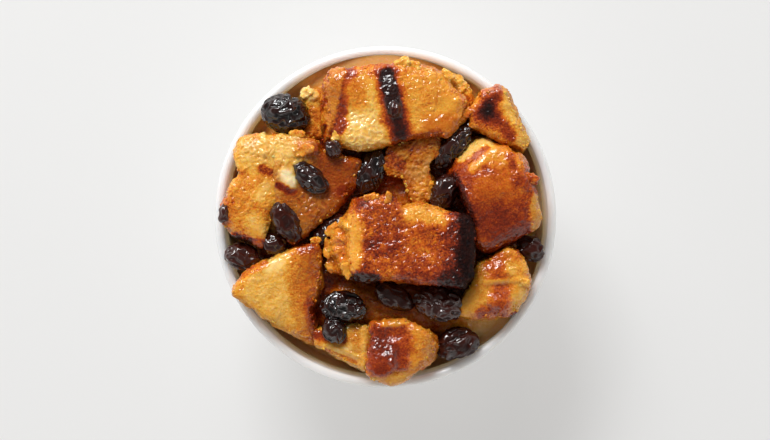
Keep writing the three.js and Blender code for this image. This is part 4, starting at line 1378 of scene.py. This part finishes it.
def wrinkled_raisin(number, at, size, turn, climb, wrinkle=1.0, length_ratio=1.7, gloss=0.8, brown=0.12):
    """A ball pressed to `size`. Long rounded ridges wind where a lengthwise stretched noise passes through
    zero, finer creases run where another does, and a few hollows are sunk. It is tilted by climb,
    turned, and set down at its place."""
    half = np.array(size) / 2
    lattice, quads = box_skin(np.ceil(2 * half / RAISIN_CELL))
    ball = np.tan(lattice * np.pi / 4)
    ball = ball / np.linalg.norm(ball, axis=1, keepdims=True)
    seed = 300 + 13 * number
    points = ball * half
    points *= (1 + RAISIN_UNEVEN * hills(points, half.mean() * 1.2, seed))[:, None]
    normals = vertex_normals(points, quads)
    winding = stirred_up(points, size=3.0, amount=0.9, seed=seed + 7)
    stretched = winding / np.array([length_ratio, 1.0, 1.0])
    ridges = folds(stretched, RIDGE_SIZE, RIDGE_WIDTH, seed + 1)
    creases = folds(stretched, FINE_CREASE_SIZE, FINE_CREASE_WIDTH, seed + 2)
    hollows = smoothstep(0.1, 0.8, hills(stretched, HOLLOW_SIZE, seed + 3))
    height = RIDGE_HEIGHT * ridges + FINE_CREASE_HEIGHT * creases * (1 - ridges) - HOLLOW_DEPTH * hollows
    points = points + normals * (wrinkle * height - RAISIN_INSET)[:, None]
    points = kept_inside(points @ tilted_and_turned(climb, turn).T + np.array(at))
    attributes = {
        "ridge": np.clip(RIDGE_BROWN * ridges + brown, 0, 1),
        "gloss": np.clip(gloss + GLOSS_WANDER * hills(points, GLOSS_SIZE, seed + 4), 0, 1),
    }
    name = f"raisin_{number:02d}"
    make_object(f"{name}_skin", points, [quads], attributes, raisin_skin, [name])


# %% Place the raisins
RAISINS = [
    # place of the middle, (length, width, height), turn, climb, what differs from most
    ((-30.2, 31.0, 54.0), (14.8, 12.2, 10.5), -6, 0, dict(length_ratio=1.2, wrinkle=0.9, brown=0.0)),
    ((-22.6, 11.6, 58.2), (12.8, 7.2, 6.2), -38, -6, dict(gloss=0.9)),
    ((-29.8, -1.4, 57.2), (13.8, 7.2, 6.4), -60, -8, dict(gloss=0.5, brown=0.5)),
    ((-33.8, -8.3, 53.6), (8.2, 6.8, 6.0), -30, -15, dict(gloss=0.9, brown=0.4)),
    ((-43.6, -12.2, 50.8), (11.0, 8.0, 7.2), -14, 0, dict(brown=0.8)),
    ((-17.2, -4.0, 52.6), (12.8, 6.6, 6.6), 42, 6, dict(brown=0.3)),
    ((-4.2, 13.6, 53.4), (14.6, 9.2, 7.8), 62, 4, {}),
    ((20.4, 21.2, 55.0), (16.6, 7.0, 6.6), 50, 8, dict(gloss=1.0, brown=0.3, wrinkle=1.2, length_ratio=1.3)),
    ((17.6, 7.4, 55.2), (12.2, 8.4, 7.6), 66, 6, dict(brown=0.4, wrinkle=0.6)),
    ((-12.8, -27.2, 55.0), (13.8, 9.0, 7.8), -6, 4, dict(
        gloss=1.0, brown=0.0, wrinkle=1.2, length_ratio=1.2)),
    ((-15.6, -34.2, 54.6), (8.6, 7.0, 6.0), -62, 0, dict(gloss=1.0, brown=0.1, length_ratio=1.2)),
    ((2.6, -24.2, 54.4), (13.4, 7.6, 6.6), -25, 0, dict(wrinkle=0.5, gloss=0.6, brown=0.6)),
    ((16.0, -26.4, 55.2), (15.0, 10.2, 8.2), -14, 0, dict(gloss=1.0, brown=0.7, wrinkle=1.3)),
    ((21.8, -38.4, 51.0), (13.0, 9.8, 8.4), 16, 0, dict(gloss=0.4, brown=0.4, length_ratio=1.4)),
    ((44.0, -9.6, 51.6), (8.8, 7.2, 6.8), -28, 0, dict(gloss=0.4, brown=0.5)),
    ((-15.8, 20.4, 58.8), (6.0, 5.0, 4.6), -50, -20, dict(gloss=0.9, brown=0.5)),
    ((-48.6, 1.2, 55.2), (6.4, 4.0, 4.0), 82, 0, dict(gloss=1.0, brown=1.0, wrinkle=0.7)),
]
for number, (at, size, turn, climb, habit) in enumerate(RAISINS, start=1):
    wrinkled_raisin(number, at, size, turn, climb, **habit)
